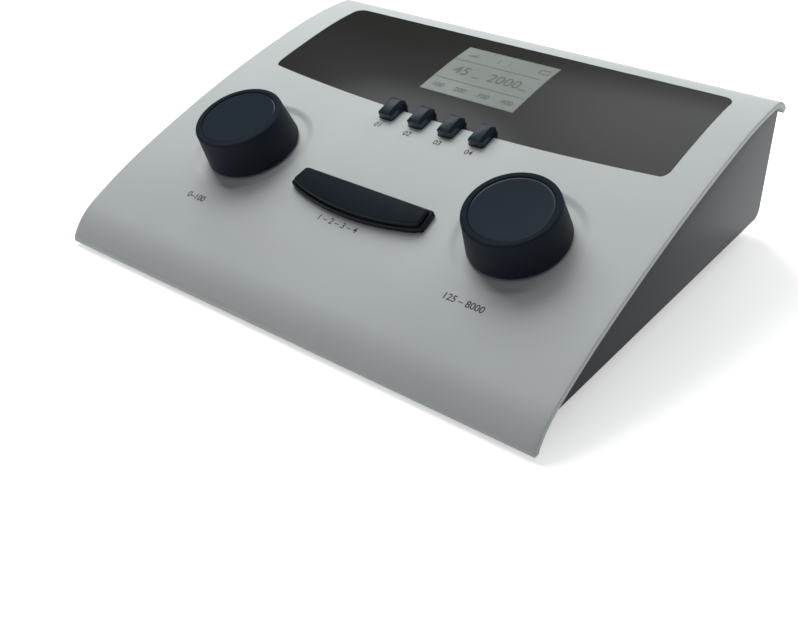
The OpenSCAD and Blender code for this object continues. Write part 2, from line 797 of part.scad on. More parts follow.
// End outline of a key: straight sides with long chamfers under a flat top.
module key_chamfer() {
    w = key_w / 2;
    rotate([90, 0, 0]) linear_extrude(key_l + 4, center = true) polygon([
        [-w - 1, key_flange_top - 1], [w + 1, key_flange_top - 1], [w + 1, key_h - 1.5],
        [w - 0.05, key_h - 1.4], [w - 1.15, key_h - 0.1], [w - 1.6, key_h + 0.1],
        [-w + 1.6, key_h + 0.1], [-w + 1.15, key_h - 0.1], [-w + 0.05, key_h - 1.4],
        [-w - 1, key_h - 1.5]]);
}
module function_key_1() { function_key(0); }
module function_key_2() { function_key(1); }
module function_key_3() { function_key(2); }
module function_key_4() { function_key(3); }
plunger_r = 1.6;
module key_plunger(k) {
    color("#e0c060") key_place(k) rod(plunger_r, switch_top - 1, key_stem_end);
}
module key_plunger_1() { key_plunger(0); }
module key_plunger_2() { key_plunger(1); }
module key_plunger_3() { key_plunger(2); }
module key_plunger_4() { key_plunger(3); }
module key_switches() {
    color(plastic_black) key_places() difference() {
        block(6, 6, board_in_key, switch_top);
        rod(plunger_r + shaft_play, switch_top - 1 - key_travel - 0.3, switch_top + 1);
    }
}

// ---- Tone bar --------------------------------------------------------------
collar_root = 1;
rim_seat = 0.02;
collar_rear_w = 1.2;
bar_gap = 0.25;
bar_flange_top = -cover_wall - 0.9;
bar_flange_t = 1.2;
bar_stem_end = -6;
tone_top = bar_stem_end - bar_travel - 0.2;
guide_h = 1.2;
post_end = board_top + guide_h + bar_travel + 1.2;
plunger_sink = 1.2;
guide_x = 21;
spring_r = 2.6;
spring_wire = 0.35;
module tone_bar() {
    color(disc_black) on_slope() {
        bar_prism(-bar_gap, -bar_gap, 1.4, bar_flange_top - eps, bar_h - 0.55);
        bar_prism(-bar_gap - 0.4, -bar_gap - 0.15, 1.2, bar_h - 0.55, bar_h - 0.25);
        bar_prism(-bar_gap - 0.8, -bar_gap - 0.3, 1.0, bar_h - 0.25, bar_h);
        bar_prism(0.7, 0.7, 1.4, bar_flange_top - bar_flange_t, bar_flange_top);
        translate([0, bar_mid_v, 0]) block(6, 5, bar_stem_end, bar_flange_top);
        for (s = [-1, 1]) translate([s * guide_x, bar_mid_v, 0])
            rod(1.4, post_end, bar_flange_top);
    }
}
// Fixed collar: a root in the cover's hole and a raised rim in front and at the ends.
module tone_bar_collar() {
    color(knob_black) on_slope() difference() {
        union() {
            bar_prism(collar_root - seat_gap, collar_root - seat_gap, 1.2, -cover_wall + 0.2, rim_seat + eps);
            collar_step(collar_w, rim_seat, collar_h - 0.6);
            collar_step(collar_w - 0.25, collar_h - 0.6 - eps, collar_h - 0.2);
            collar_step(collar_w - 0.6, collar_h - 0.2 - eps, collar_h);
        }
        bar_prism(0, 0, 1.4, -6, 6);
    }
}
module collar_step(grow, z0, z1) {
    bar_prism(grow, collar_rear_w * grow / collar_w, 1.6, z0, z1);
}
module tone_switch() {
    color(plastic_black) on_slope() translate([0, bar_mid_v, 0]) difference() {
        union() {
            block(12, 10, board_top, tone_top);
            for (s = [-1, 1]) translate([s * guide_x, 0, 0]) rod(3.4, board_top, board_top + guide_h);
        }
        rod(2.05, tone_top - plunger_sink - bar_travel - 0.4, tone_top + 1);
        for (s = [-1, 1]) translate([s * guide_x, 0, 0]) rod(1.6, board_top - 1, board_top + 3);
    }
}
module tone_plunger() {
    color("#e0c060") on_slope() translate([0, bar_mid_v, 0]) rod(2, tone_top - plunger_sink, bar_stem_end);
}
// One coil spring round each guide post, swept as a tube along a helix.
module tone_bar_springs() {
    z0 = board_top + guide_h + spring_wire + 0.1;
    z1 = bar_flange_top - bar_flange_t - spring_wire - 0.1;
    color(steel) on_slope() for (s = [-1, 1]) translate([s * guide_x, bar_mid_v, 0])
        coil(spring_r, spring_wire, z0, z1, 3);
}
module coil(r, wire, z0, z1, turns) {
    steps = 16 * turns;
    sides = 6;
    pts = [for (i = [0 : steps], j = [0 : sides - 1])
        let (a = 360 * turns * i / steps, b = 360 * j / sides, q = r + wire * cos(b))
        [q * cos(a), q * sin(a), z0 + (z1 - z0) * i / steps + wire * sin(b)]];
    walls = [for (i = [0 : steps - 1], j = [0 : sides - 1])
        let (a = i * sides + j, b = i * sides + (j + 1) % sides)
        each [[a, b, b + sides], [a, b + sides, a + sides]]];
    ends = [[for (j = [sides - 1 : -1 : 0]) j], [for (j = [0 : sides - 1]) steps * sides + j]];
    polyhedron(pts, concat(walls, ends));
}

// ---- Feet, screws and ribbons ----------------------------------------------
foot_x = cover_w / 2 - 24.5;
foot_front_y = 39.9 - toe_reach;
foot_rear_y = rear_y - 21.25;
foot_seat = 1.1;
module foot_places() {
    corners(foot_x, foot_front_y, foot_rear_y) children();
}
module foot_bosses() {
    foot_places() difference() {
        rod(foot_r + 1.4, foot_h - foot_seat, base_lift + 1);
        rod(foot_r + 0.1, -1, foot_h);
    }
}
module rubber_feet() {
    color(plastic_black) foot_places() rotate_extrude() polygon([
        [0, 0], [foot_r - 0.9, 0], [foot_r - 0.3, 0.4], [foot_r, 1.4], [foot_r, foot_h], [0, foot_h]]);
}
module case_screw(z_end) {
    rod(head_r, head_seat_z - head_h, head_seat_z);
    rod(screw_r, head_seat_z - eps, z_end);
}
module case_screws() {
    color(steel) for (s = [-1, 1]) {
        translate([s * case_x, case_front_y, 0]) case_screw(split_front_z + case_screw_bite);
        translate([s * case_x, case_rear_y, 0]) case_screw(split_rear_z + case_screw_bite);
    }
}
// A flat ribbon: a band of even thickness along corner points in (y, z).
ribbon_t = 0.4;
module ribbon(points, width) {
    n = len(points);
    normals = [for (i = [0 : n - 1])
        let (d = unit(points[min(i + 1, n - 1)] - points[max(i - 1, 0)])) [-d[1], d[0]]];
    across(width) polygon(concat(
        [for (i = [0 : n - 1]) points[i] + normals[i] * ribbon_t / 2],
        [for (i = [n - 1 : -1 : 0]) points[i] - normals[i] * ribbon_t / 2]));
}
module ribbon_cables() {
    main_edge = slope_point(board_v1 - 3, board_top - board_t - 0.3);
    lcd_edge = window_point(-14, lcd_board_top - board_t - 0.3);
    rear_edge = [rear_board_y0 + 4, rear_board_z - board_t - 0.3];
    color([0.75, 0.76, 0.78]) {
        translate([-14, 0, 0]) ribbon([main_edge, main_edge + [5, -1.5], main_edge + [10, -2],
            lcd_edge + [-1, -3.5], lcd_edge + [1.4, -1.6], lcd_edge + [4, 0.75]], 18);
        translate([14, 0, 0]) ribbon([main_edge, main_edge + [4, -3], main_edge + [14, -7],
            rear_edge + [-12, -2], rear_edge + [-4, -1.2], rear_edge], 18);
    }
}
function slope_point(v, w) = [
    dial_y + v * cos(dial_tilt) - w * sin(dial_tilt),
    dial_z + v * sin(dial_tilt) + w * cos(dial_tilt)];
function window_point(v, w) = [
    window_y + v * cos(window_tilt) - w * sin(window_tilt),
    window_z + v * sin(window_tilt) + w * cos(window_tilt)];

top_cover();
base_housing();
display_panel();
display_window();
lcd_glass();
lcd_frame();
backlight();
lcd_board();
lcd_screws();
main_board();
board_chips();
board_screws();
left_encoder();
right_encoder();
left_shaft();
right_shaft();
left_knob();
right_knob();
left_knob_disc();
right_knob_disc();
function_key_1();
function_key_2();
function_key_3();
function_key_4();
key_plunger_1();
key_plunger_2();
key_plunger_3();
key_plunger_4();
key_switches();
tone_bar();
tone_bar_collar();
tone_switch();
tone_plunger();
tone_bar_springs();
rear_board();
left_phone_socket();
right_phone_socket();
response_socket();
usb_socket();
power_switch();
power_rocker();
battery_door();
battery_cells();
battery_contacts();
rubber_feet();
case_screws();
ribbon_cables();
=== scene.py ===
"""Dresses the desktop audiometer and lights it.

A rolled light grey cover lies on a dark wedge base. On it are an inlaid display panel, four
function keys, two dials in shallow dishes and a tone bar in its collar. Lengths in the classes
are millimetres in the frame of the solids: x to the right, y to the rear and z up.
"""

from __future__ import annotations

import logging
import math
from collections.abc import Callable, Iterator
from contextlib import contextmanager
from dataclasses import dataclass
from enum import Enum
from typing import Any

import bmesh
import bpy
from mathutils import Matrix, Vector

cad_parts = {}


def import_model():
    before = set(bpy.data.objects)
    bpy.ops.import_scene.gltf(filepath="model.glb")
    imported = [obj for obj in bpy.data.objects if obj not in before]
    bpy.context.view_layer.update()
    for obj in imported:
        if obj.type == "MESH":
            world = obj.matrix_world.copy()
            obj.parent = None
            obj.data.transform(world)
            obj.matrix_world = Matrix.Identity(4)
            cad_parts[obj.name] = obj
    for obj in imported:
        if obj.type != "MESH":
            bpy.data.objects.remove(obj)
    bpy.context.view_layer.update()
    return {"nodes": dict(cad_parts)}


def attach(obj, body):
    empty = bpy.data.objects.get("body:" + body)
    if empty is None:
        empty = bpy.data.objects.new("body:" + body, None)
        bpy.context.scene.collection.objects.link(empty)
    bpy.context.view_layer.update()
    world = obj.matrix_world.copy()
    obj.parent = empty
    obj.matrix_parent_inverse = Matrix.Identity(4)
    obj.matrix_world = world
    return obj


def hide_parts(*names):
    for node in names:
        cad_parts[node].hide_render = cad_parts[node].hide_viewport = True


MM = 0.001
WHITE = (1.0, 1.0, 1.0, 1.0)
Colour = tuple[float, float, float, float]
Outline = list[tuple[float, float]]
Test = Callable[[Vector, Vector], bool]
log = logging.getLogger("audiometer")


def paint(red: int, green: int, blue: int) -> Colour:
    """Turns a colour as it looks, from 0 to 255, into the linear colour that shaders take."""
    steps = (red / 255, green / 255, blue / 255)
    linear = [c / 12.92 if c <= 0.04045 else ((c + 0.055) / 1.055) ** 2.4 for c in steps]
    return (linear[0], linear[1], linear[2], 1.0)


def scaled(colour: Colour, factor: float) -> Colour:
    """A colour made darker or lighter by a factor."""
    return (colour[0] * factor, colour[1] * factor, colour[2] * factor, 1.0)


# ---- Shader maths ----------------------------------------------------------------------------


class Wire:
    """A shader socket that takes part in Python expressions."""

    def __init__(self, graph: Graph, socket: bpy.types.NodeSocket) -> None:
        """Holds a socket of a graph."""
        self.graph = graph
        self.socket = socket

    def maths(self, operation: str, *others: Wire | float) -> Wire:
        """Puts this wire, and any others after it, through one Math node."""
        return self.graph.maths(operation, self, *others)

    def __add__(self, other: Wire | float) -> Wire:
        """The sum."""
        return self.maths("ADD", other)

    def __sub__(self, other: Wire | float) -> Wire:
        """The difference."""
        return self.maths("SUBTRACT", other)

    def __rsub__(self, other: Wire | float) -> Wire:
        """The difference from a number."""
        return self.graph.maths("SUBTRACT", other, self)

    def __mul__(self, other: Wire | float) -> Wire:
        """The product."""
        return self.maths("MULTIPLY", other)

    def __abs__(self) -> Wire:
        """The size without its sign."""
        return self.maths("ABSOLUTE")

    __radd__ = __add__

    def step(self, low: float, high: float) -> Wire:
        """Rises smoothly from 0 at low to 1 at high."""
        sockets = {"Value": self, "From Min": low, "From Max": high}
        return self.graph.add("ShaderNodeMapRange", {"interpolation_type": "SMOOTHSTEP"}, sockets)


class Graph:
    """The node tree of one material or world."""

    def __init__(self, owner: bpy.types.Material | bpy.types.World) -> None:
        """Empties the owner's tree."""
        self.owner = owner
        owner.use_nodes = True
        self.tree = owner.node_tree
        self.tree.nodes.clear()

    @staticmethod
    def title(name: str) -> str:
        """The name of a finish's material, apart from the slots that the frame brings."""
        return f"{name}_finish"

    @classmethod
    def finish(cls, name: str) -> Graph:
        """Starts the material of a finish."""
        return cls(bpy.data.materials.new(cls.title(name)))

    def node(self, kind: str, settings: dict[str, Any], sockets: dict[Any, Any]) -> bpy.types.Node:
        """Adds a node.

        Args:
            kind: Its type.
            settings: Its own properties, set first.
            sockets: Its inputs, each a value or a wire.

        Returns:
            The node.
        """
        made = self.tree.nodes.new(kind)
        for name, value in settings.items():
            setattr(made, name, value)
        for name, value in sockets.items():
            if isinstance(value, Wire):
                self.tree.links.new(value.socket, made.inputs[name])
            else:
                made.inputs[name].default_value = value
        return made

    def add(self, kind: str, settings: dict[str, Any], sockets: dict[Any, Any]) -> Wire:
        """Adds a node and returns the wire of its first result."""
        return Wire(self, self.node(kind, settings, sockets).outputs[0])

    def maths(self, operation: str, *values: Wire | float) -> Wire:
        """Adds one Math node.

        Args:
            operation: The node's operation.
            values: Its inputs, in order.

        Returns:
            The node's result.
        """
        return self.add("ShaderNodeMath", {"operation": operation}, dict(enumerate(values)))

    def place(self) -> Wire:
        """The place on the piece, in its object's coordinates."""
        node = self.node("ShaderNodeTexCoord", {}, {})
        return Wire(self, node.outputs["Object"])

    def axes(self, where: Wire | None = None) -> tuple[Wire, Wire, Wire]:
        """Splits a direction, or the place on the piece in metres, into three numbers."""
        node = self.node("ShaderNodeSeparateXYZ", {}, {0: where or self.place()})
        x, y, z = (Wire(self, socket) for socket in node.outputs)
        return x, y, z

    def noise(self, size: float, detail: float = 2.0, stretch: Vector | None = None) -> Wire:
        """A soft random pattern.

        Args:
            size: The size of its lumps in millimetres.
            detail: How many finer patterns lie on it.
            stretch: How much the pattern is squeezed along each axis.

        Returns:
            A number about 0.5.
        """
        where = self.place()
        if stretch is not None:
            where = self.add("ShaderNodeMapping", {}, {"Vector": where, "Scale": stretch})
        sockets = {"Vector": where, "Scale": 1 / (size * MM), "Detail": detail}
        return self.add("ShaderNodeTexNoise", {}, sockets)

    def dots(self, pitch: float, radius: float) -> Wire:
        """A mask of sparse dots, one at most in each cell of a pitch, in millimetres."""
        sockets = {"Vector": self.place(), "Scale": 1 / (pitch * MM)}
        distance = self.add("ShaderNodeTexVoronoi", {}, sockets)
        return 1 - distance.step(radius / pitch * 0.6, radius / pitch)

    def blend(self, mask: Wire, first: Colour | Wire, second: Colour | Wire) -> Wire:
        """Mixes two colours by a mask that is 0 for the first and 1 for the second."""
        node = self.node("ShaderNodeMix", {"data_type": "RGBA"}, {0: mask, 6: first, 7: second})
        return Wire(self, node.outputs[2])

    def bump(self, height: Wire, depth: float) -> Wire:
        """A normal for a height pattern from 0 to 1, that deep in millimetres."""
        sockets = {"Height": height, "Distance": depth * MM, "Strength": 1.0}
        return self.add("ShaderNodeBump", {}, sockets)

    def seen(self) -> Wire:
        """1 for what the camera, a reflection or a clear piece shows, 0 for light that is shed."""
        path = self.node("ShaderNodeLightPath", {}, {})
        kinds = ("Camera", "Glossy", "Transmission")
        camera, glossy, clear = (Wire(self, path.outputs[f"Is {kind} Ray"]) for kind in kinds)
        return (camera + glossy + clear).maths("MINIMUM", 1.0)

    def surface(self, **sockets: Any) -> bpy.types.Material:
        """Ends the material in a Principled shader.

        Args:
            sockets: Its inputs, with underscores for spaces.

        Returns:
            The material.
        """
        named = {name.replace("_", " "): value for name, value in sockets.items()}
        shader = self.add("ShaderNodeBsdfPrincipled", {}, named)
        self.node("ShaderNodeOutputMaterial", {}, {"Surface": shader})
        return self.owner


# ---- Finishes --------------------------------------------------------------------------------


@dataclass(frozen=True)
class MouldedPlastic:
    """Matt or satin plastic from a textured mould."""

    name: str
    colour: Colour
    roughness: float = 0.5
    grain: float = 0.35
    grain_depth: float = 0.006
    mottle: float = 0.03
    shine: float = 0.5

    def make(self) -> bpy.types.Material:
        """Makes the material: a fine grain, and cloudy changes of tone and gloss."""
        graph = Graph.finish(self.name)
        cloud = graph.noise(38.0, 2.0)
        grain = graph.noise(self.grain, 3.0)
        tone = (cloud + grain * 0.35).step(0.45, 0.95)
        colour = graph.blend(
            tone, scaled(self.colour, 1 - self.mottle), scaled(self.colour, 1 + self.mottle)
        )
        return graph.surface(
            Base_Color=colour,
            Roughness=self.roughness + (grain - 0.5) * 0.16,
            Normal=graph.bump(grain, self.grain_depth),
            Specular_IOR_Level=self.shine,
        )


@dataclass(frozen=True)
class GlossPlastic:
    """Polished plastic with the faint ripple of its mould and a little dust."""

    name: str
    colour: Colour
    roughness: float = 0.16
    coat: float = 0.5
    ripple: float = 0.004
    dust: float = 0.05

    def make(self) -> bpy.types.Material:
        """Makes the material."""
        graph = Graph.finish(self.name)
        cloud = graph.noise(24.0, 2.0)
        dust = graph.dots(5.5, 0.09) * graph.noise(9.0, 1.0).step(0.48, 0.6)
        toned = graph.blend(cloud, scaled(self.colour, 0.93), scaled(self.colour, 1.07))
        colour = graph.blend(dust * self.dust, toned, WHITE)
        return graph.surface(
            Base_Color=colour,
            Roughness=self.roughness + (cloud - 0.5) * 0.06 + dust * 0.3,
            Normal=graph.bump(graph.noise(7.0, 1.0), self.ripple),
            Coat_Weight=self.coat,
            Coat_Roughness=0.08,
        )


@dataclass(frozen=True)
class SoftTouch:
    """Velvety rubber paint over plastic."""

    name: str
    colour: Colour
    roughness: float = 0.6
    shine: float = 0.1

    def make(self) -> bpy.types.Material:
        """Makes the material: a powdery grain, a weak sheen and sparse lint."""
        graph = Graph.finish(self.name)
        grain = graph.noise(0.22, 4.0)
        cloud = graph.noise(11.0, 2.0)
        lint = graph.dots(4.2, 0.11) * graph.noise(6.0, 1.0).step(0.5, 0.62)
        toned = graph.blend(cloud, scaled(self.colour, 0.85), scaled(self.colour, 1.2))
        return graph.surface(
            Base_Color=graph.blend(lint * 0.06, toned, WHITE),
            Roughness=self.roughness + (grain - 0.5) * 0.2,
            Normal=graph.bump(grain, 0.004),
            Specular_IOR_Level=self.shine,
            Sheen_Weight=0.01,
            Sheen_Roughness=0.4,
        )


@dataclass(frozen=True)
class PlatedSteel:
    """Plated or turned metal."""

    name: str
    colour: Colour = paint(196, 198, 202)
    roughness: float = 0.3

    def make(self) -> bpy.types.Material:
        """Makes the material: fine lines along one axis and a stain here and there."""
        graph = Graph.finish(self.name)
        lines = graph.noise(0.9, 3.0, Vector((1.0, 14.0, 14.0)))
        stain = graph.noise(3.0, 2.0)
        return graph.surface(
            Base_Color=graph.blend(stain, scaled(self.colour, 0.82), self.colour),
            Metallic=1.0,
            Roughness=self.roughness + (lines - 0.5) * 0.22,
            Normal=graph.bump(lines, 0.003),
        )


@dataclass(frozen=True)
class CircuitBoard:
    """Lacquered board with the shapes of its tracks and rows of plated holes."""

    name: str = "circuit_board"

    def make(self) -> bpy.types.Material:
        """Makes the material."""
        graph = Graph.finish(self.name)
        sockets = {"Vector": graph.place(), "Scale": 1 / (5.0 * MM)}
        cells = graph.add("ShaderNodeTexVoronoi", {"distance": "CHEBYCHEV"}, sockets)
        tracks = cells.step(0.30, 0.33) - cells.step(0.38, 0.41)
        holes = graph.dots(2.54, 0.5)
        lacquer = graph.blend(tracks, paint(18, 78, 44), paint(38, 112, 62))
        return graph.surface(
            Base_Color=graph.blend(holes, lacquer, paint(205, 180, 110)),
            Metallic=holes * 0.9,
            Roughness=0.35 + graph.noise(2.0) * 0.1,
            Normal=graph.bump(tracks + holes, 0.035),
        )


@dataclass(frozen=True)
class LcdFace:
    """Grey-green display under a clear gloss cover, with its pixel grid, painted shade along its
    rim and painted light that falls off from left to right.
    """

    name: str = "lcd_face"
    colour: Colour = paint(146, 155, 148)
    pitch: float = 0.42
    half_width: float = 23.7
    middle_y: float = 44.0
    half_depth: float = 17.7
    # Width of the band of painted shade along the window's edges.
    rim: float = 1.2

    def make(self) -> bpy.types.Material:
        """Makes the material."""
        graph = Graph.finish(self.name)
        x, y, _ = graph.axes()
        wave = 2 * math.pi / (self.pitch * MM)
        across, along = ((axis * wave).maths("COSINE").step(0.86, 1.0) for axis in (x, y))
        grid = across.maths("MAXIMUM", along)
        reach_x, reach_y = abs(x) * (1 / MM), abs(y * (1 / MM) - self.middle_y)
        # Painted shade: the display darkens in a band along the window's edges.
        rim = reach_x.step(self.half_width - self.rim, self.half_width)
        rim = rim + reach_y.step(self.half_depth - self.rim, self.half_depth)
        # Painted light: the display is lighter towards the left and darker towards the right, with
        # soft random patches.
        glow = (graph.noise(26.0, 1.0) - x * 9.0).step(0.2, 0.8)
        face = graph.blend(glow, scaled(self.colour, 0.84), scaled(self.colour, 1.06))
        lined = graph.blend(grid * 0.06, face, paint(90, 94, 88))
        return graph.surface(
            Base_Color=graph.blend(rim * 0.25, lined, paint(80, 84, 78)),
            Roughness=0.3 + grid * 0.04,
            Normal=graph.bump(graph.noise(8.0, 1.0), 0.003),
            Coat_Weight=0.6,
            Coat_Roughness=0.06,
        )


@dataclass(frozen=True)
class Ink:
    """Screen-printed ink or dark display segments."""

    name: str
    colour: Colour
    roughness: float = 0.45

    def make(self) -> bpy.types.Material:
        """Makes the material: a slightly uneven film."""
        graph = Graph.finish(self.name)
        film = graph.noise(0.5, 2.0)
        return graph.surface(
            Base_Color=graph.blend(film, scaled(self.colour, 0.85), scaled(self.colour, 1.15)),
            Roughness=self.roughness + (film - 0.5) * 0.1,
        )


@dataclass(frozen=True)
class CellJacket:
    """Wrapped dry cell: a coloured jacket, a paler band and bare metal at one end."""

    name: str = "cell_jacket"
    metal_edge: tuple[float, float] = (23.5, 23.8)
    band: tuple[float, float] = (8.0, 14.0)
    blur: float = 0.3

    def make(self) -> bpy.types.Material:
        """Makes the material."""
        graph = Graph.finish(self.name)
        x, _, _ = graph.axes()
        reach = x * (1 / MM)
        metal = reach.step(*self.metal_edge)
        start, end = (reach.step(edge, edge + self.blur) for edge in self.band)
        band = start - end
        jacket = graph.blend(band, paint(44, 84, 140), paint(206, 212, 220))
        return graph.surface(
            Base_Color=graph.blend(metal, jacket, paint(205, 206, 208)),
            Metallic=metal,
            Roughness=0.28 + graph.noise(4.0) * 0.12,
            Normal=graph.bump(graph.noise(1.5), 0.01),
        )


@dataclass(frozen=True)
class RibbonJacket:
    """Flat cable: ridged conductors side by side, the outermost marked, with painted shade in the
    grooves between them.
    """

    name: str = "ribbon_jacket"
    pitch: float = 1.27
    marked: tuple[float, float] = (21.6, 21.8)

    def make(self) -> bpy.types.Material:
        """Makes the material."""
        graph = Graph.finish(self.name)
        x, _, _ = graph.axes()
        ridge = abs((x * (math.pi / (self.pitch * MM))).maths("SINE"))
        marked = (abs(x) * (1 / MM)).step(*self.marked)
        # Painted shade: the grey is darker in the grooves between conductors and lighter on their
        # tops.
        pale = graph.blend(ridge, paint(140, 142, 146), paint(190, 192, 196))
        return graph.surface(
            Base_Color=graph.blend(marked, pale, paint(150, 40, 36)),
            Roughness=0.45 + graph.noise(1.0) * 0.1,
            Normal=graph.bump(ridge, 0.12),
        )


class Finish(Enum):
    """Every finish on the object, by the part that it dresses."""

    COVER = MouldedPlastic("cover_plastic", paint(206, 211, 210), 0.52, 0.4, 0.006, 0.02)
    BASE = MouldedPlastic("base_plastic", paint(43, 50, 53), 0.42, 0.5, 0.010, 0.05, 0.2)
    PANEL = GlossPlastic("panel_gloss", paint(36, 36, 33), 0.24, 0.5)
    LCD = LcdFace()
    KNOB = SoftTouch("knob_soft_touch", paint(34, 41, 51), 0.55, 0.1)
    DISC = GlossPlastic("disc_gloss", paint(41, 51, 60), 0.1, 0.3, 0.002, 0.1)
    KEY = GlossPlastic("key_gloss", paint(43, 56, 66), 0.17, 0.2, 0.0005, 0.02)
    BAR = MouldedPlastic("bar_satin", paint(26, 34, 42), 0.42, 0.3, 0.003, 0.08, 0.25)
    COLLAR = MouldedPlastic("collar_satin", paint(24, 29, 38), 0.42, 0.3, 0.003, 0.08, 0.25)
    BLACK = MouldedPlastic("black_plastic", paint(28, 29, 31), 0.42, 0.45, 0.006, 0.08)
    RUBBER = MouldedPlastic("foot_rubber", paint(34, 34, 35), 0.78, 0.6, 0.02, 0.1)
    PLUNGER = MouldedPlastic("plunger_plastic", paint(214, 186, 96), 0.45, 0.6, 0.005, 0.05)
    LIGHT = MouldedPlastic("light_plate", paint(226, 232, 214), 0.3, 0.5, 0.003, 0.02)
    GLASS = GlossPlastic("lcd_glass", paint(150, 160, 150), 0.08, 0.8, 0.001, 0.0)
    STEEL = PlatedSteel("plated_steel")
    BOARD = CircuitBoard()
    CELL = CellJacket()
    RIBBON = RibbonJacket()
    PRINT = Ink("printed_ink", paint(74, 78, 80))
    SEGMENT = Ink("lcd_segments", paint(108, 111, 108), 0.3)

    def material(self) -> bpy.types.Material:
        """The finish's material, made when it is first asked for."""
        known = bpy.data.materials.get(Graph.title(self.value.name))
        return known or self.value.make()


# ---- Modelling -------------------------------------------------------------------------------


class Workpiece:
    """A mesh made with Blender's own tools, in millimetres until it is settled.

    Attributes:
        capital: The height of the font's figures as a share of its size.
    """

    capital = 0.69

    def __init__(self, name: str, made: bpy.types.Object) -> None:
        """Names an object and applies its place to its mesh."""
        made.name = made.data.name = name
        self.name = name
        self.obj = made
        self.hold()
        bpy.ops.object.transform_apply(location=True, rotation=True, scale=True)

    @classmethod
    def block(cls, name: str, low: Vector, high: Vector) -> Workpiece:
        """A box between two corners, as a start."""
        cls.clear()
        bpy.ops.mesh.primitive_cube_add(size=1, location=(low + high) / 2)
        made = bpy.context.object
        made.scale = high - low
        return cls(name, made)

    @classmethod
    def rod(cls, name: str, radius: float, low: float, high: float, sides: int = 64) -> Workpiece:
        """A round rod along z, as a start."""
        cls.clear()
        bpy.ops.mesh.primitive_cylinder_add(
            vertices=sides, radius=radius, depth=high - low, location=(0, 0, (low + high) / 2)
        )
        return cls(name, bpy.context.object)

    @classmethod
    def trace(cls, name: str, points: list[tuple[float, float, float]]) -> Workpiece:
        """A chain of edges through points, as a start."""
        cls.clear()
        bpy.ops.mesh.primitive_plane_add(size=1, location=points[0])
        piece = cls(name, bpy.context.object)
        with piece.editing():
            bpy.ops.mesh.select_all(action="SELECT")
            bpy.ops.mesh.merge(type="CENTER")
            for here, there in zip(points, points[1:]):
                way = tuple(end - start for start, end in zip(here, there))
                bpy.ops.mesh.extrude_vertices_move(TRANSFORM_OT_translate={"value": way})
        return piece

    @classmethod
    def lathe(cls, name: str, profile: Outline, steps: int = 128) -> Workpiece:
        """Turns an outline about z.

        Args:
            name: The piece's name.
            profile: The outline as radius and height, from axis to axis.
            steps: How many steps the turn takes.

        Returns:
            The turned piece.
        """
        piece = cls.trace(name, [(radius, 0.0, height) for radius, height in profile])
        with piece.editing():
            bpy.ops.mesh.select_all(action="SELECT")
            bpy.ops.mesh.spin(steps=steps, angle=2 * math.pi, center=(0, 0, 0), axis=(0, 0, 1))
        return piece.mended()

    @classmethod
    def slab(cls, name: str, outline: Outline, low: float, high: float) -> Workpiece:
        """An upright prism.

        Args:
            name: The piece's name.
            outline: The corners, one way round.
            low: Height of its underside.
            high: Height of its top.

        Returns:
            The prism.
        """
        piece = cls.trace(name, [(x, y, low) for x, y in outline])
        with piece.editing():
            bpy.ops.mesh.select_all(action="SELECT")
            bpy.ops.mesh.edge_face_add()
        return piece.raised(high - low)

    @classmethod
    def copy_of(cls, node: str, name: str) -> Workpiece:
        """A merged copy of a solid, with its flat faces whole again, in millimetres."""
        cls.clear()
        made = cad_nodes[node].copy()
        made.data = made.data.copy()
        for key in list(made.keys()):
            del made[key]
        made.parent = None
        bpy.context.scene.collection.objects.link(made)
        made.data.materials.clear()
        made.scale = [1 / MM] * 3
        piece = cls(name, made)
        with piece.editing():
            bpy.ops.mesh.select_all(action="SELECT")
            bpy.ops.mesh.customdata_custom_splitnormals_clear()
            bpy.ops.mesh.remove_doubles(threshold=0.002)
            bpy.ops.mesh.dissolve_limited(angle_limit=math.radians(0.2))
        return piece

    @classmethod
    def lettering(cls, name: str, text: str, height: float, weight: float = 0.0) -> Workpiece:
        """Plain numbers or signs as a flat mesh, middle at the origin."""
        cls.clear()
        bpy.ops.object.text_add(location=(0, 0, 0))
        made = bpy.context.object
        made.data.body = text
        made.data.align_x = made.data.align_y = "CENTER"
        made.data.size = height / cls.capital
        made.data.offset = weight
        bpy.ops.object.convert(target="MESH")
        return cls(name, bpy.context.object)

    @staticmethod
    def clear() -> None:
        """Leaves nothing selected."""
        for chosen in bpy.context.selected_objects:
            chosen.select_set(False)

    def hold(self) -> None:
        """Makes this piece the only one selected."""
        self.clear()
        bpy.context.view_layer.objects.active = self.obj
        self.obj.select_set(True)

    @contextmanager
    def editing(self, kind: str = "VERT") -> Iterator[None]:
        """Opens the piece in edit mode, with nothing selected."""
        self.hold()
        bpy.ops.object.mode_set(mode="EDIT")
        bpy.ops.mesh.select_mode(type=kind)
        bpy.ops.mesh.select_all(action="DESELECT")
        yield
        bpy.ops.object.mode_set(mode="OBJECT")

    def pick(self, test: Test, kind: str = "VERT") -> None:
        """Selects what passes a test, in edit mode.

        Args:
            test: Takes the middle, and the normal or an edge's direction.
            kind: VERT, EDGE or FACE.
        """
        mesh = bmesh.from_edit_mesh(self.obj.data)
        if kind == "VERT":
            for vert in mesh.verts:
                vert.select_set(test(vert.co, vert.normal))
        elif kind == "EDGE":
            for edge in mesh.edges:
                first, last = (vert.co for vert in edge.verts)
                edge.select_set(test((first + last) / 2, (last - first).normalized()))
        else:
            for face in mesh.faces:
                face.select_set(test(face.calc_center_median(), face.normal))
        mesh.select_flush_mode()
        bmesh.update_edit_mesh(self.obj.data)

    def raised(self, height: float) -> Workpiece:
        """Makes a flat sheet that thick, upwards."""
        with self.editing():
            bpy.ops.mesh.select_all(action="SELECT")
            bpy.ops.mesh.extrude_region_move(TRANSFORM_OT_translate={"value": (0, 0, height)})
        return self.mended()

    def mended(self) -> Workpiece:
        """Merges doubles and turns every face outwards."""
        with self.editing():
            bpy.ops.mesh.select_all(action="SELECT")
            bpy.ops.mesh.remove_doubles(threshold=0.001)
            bpy.ops.mesh.normals_make_consistent(inside=False)
        return self

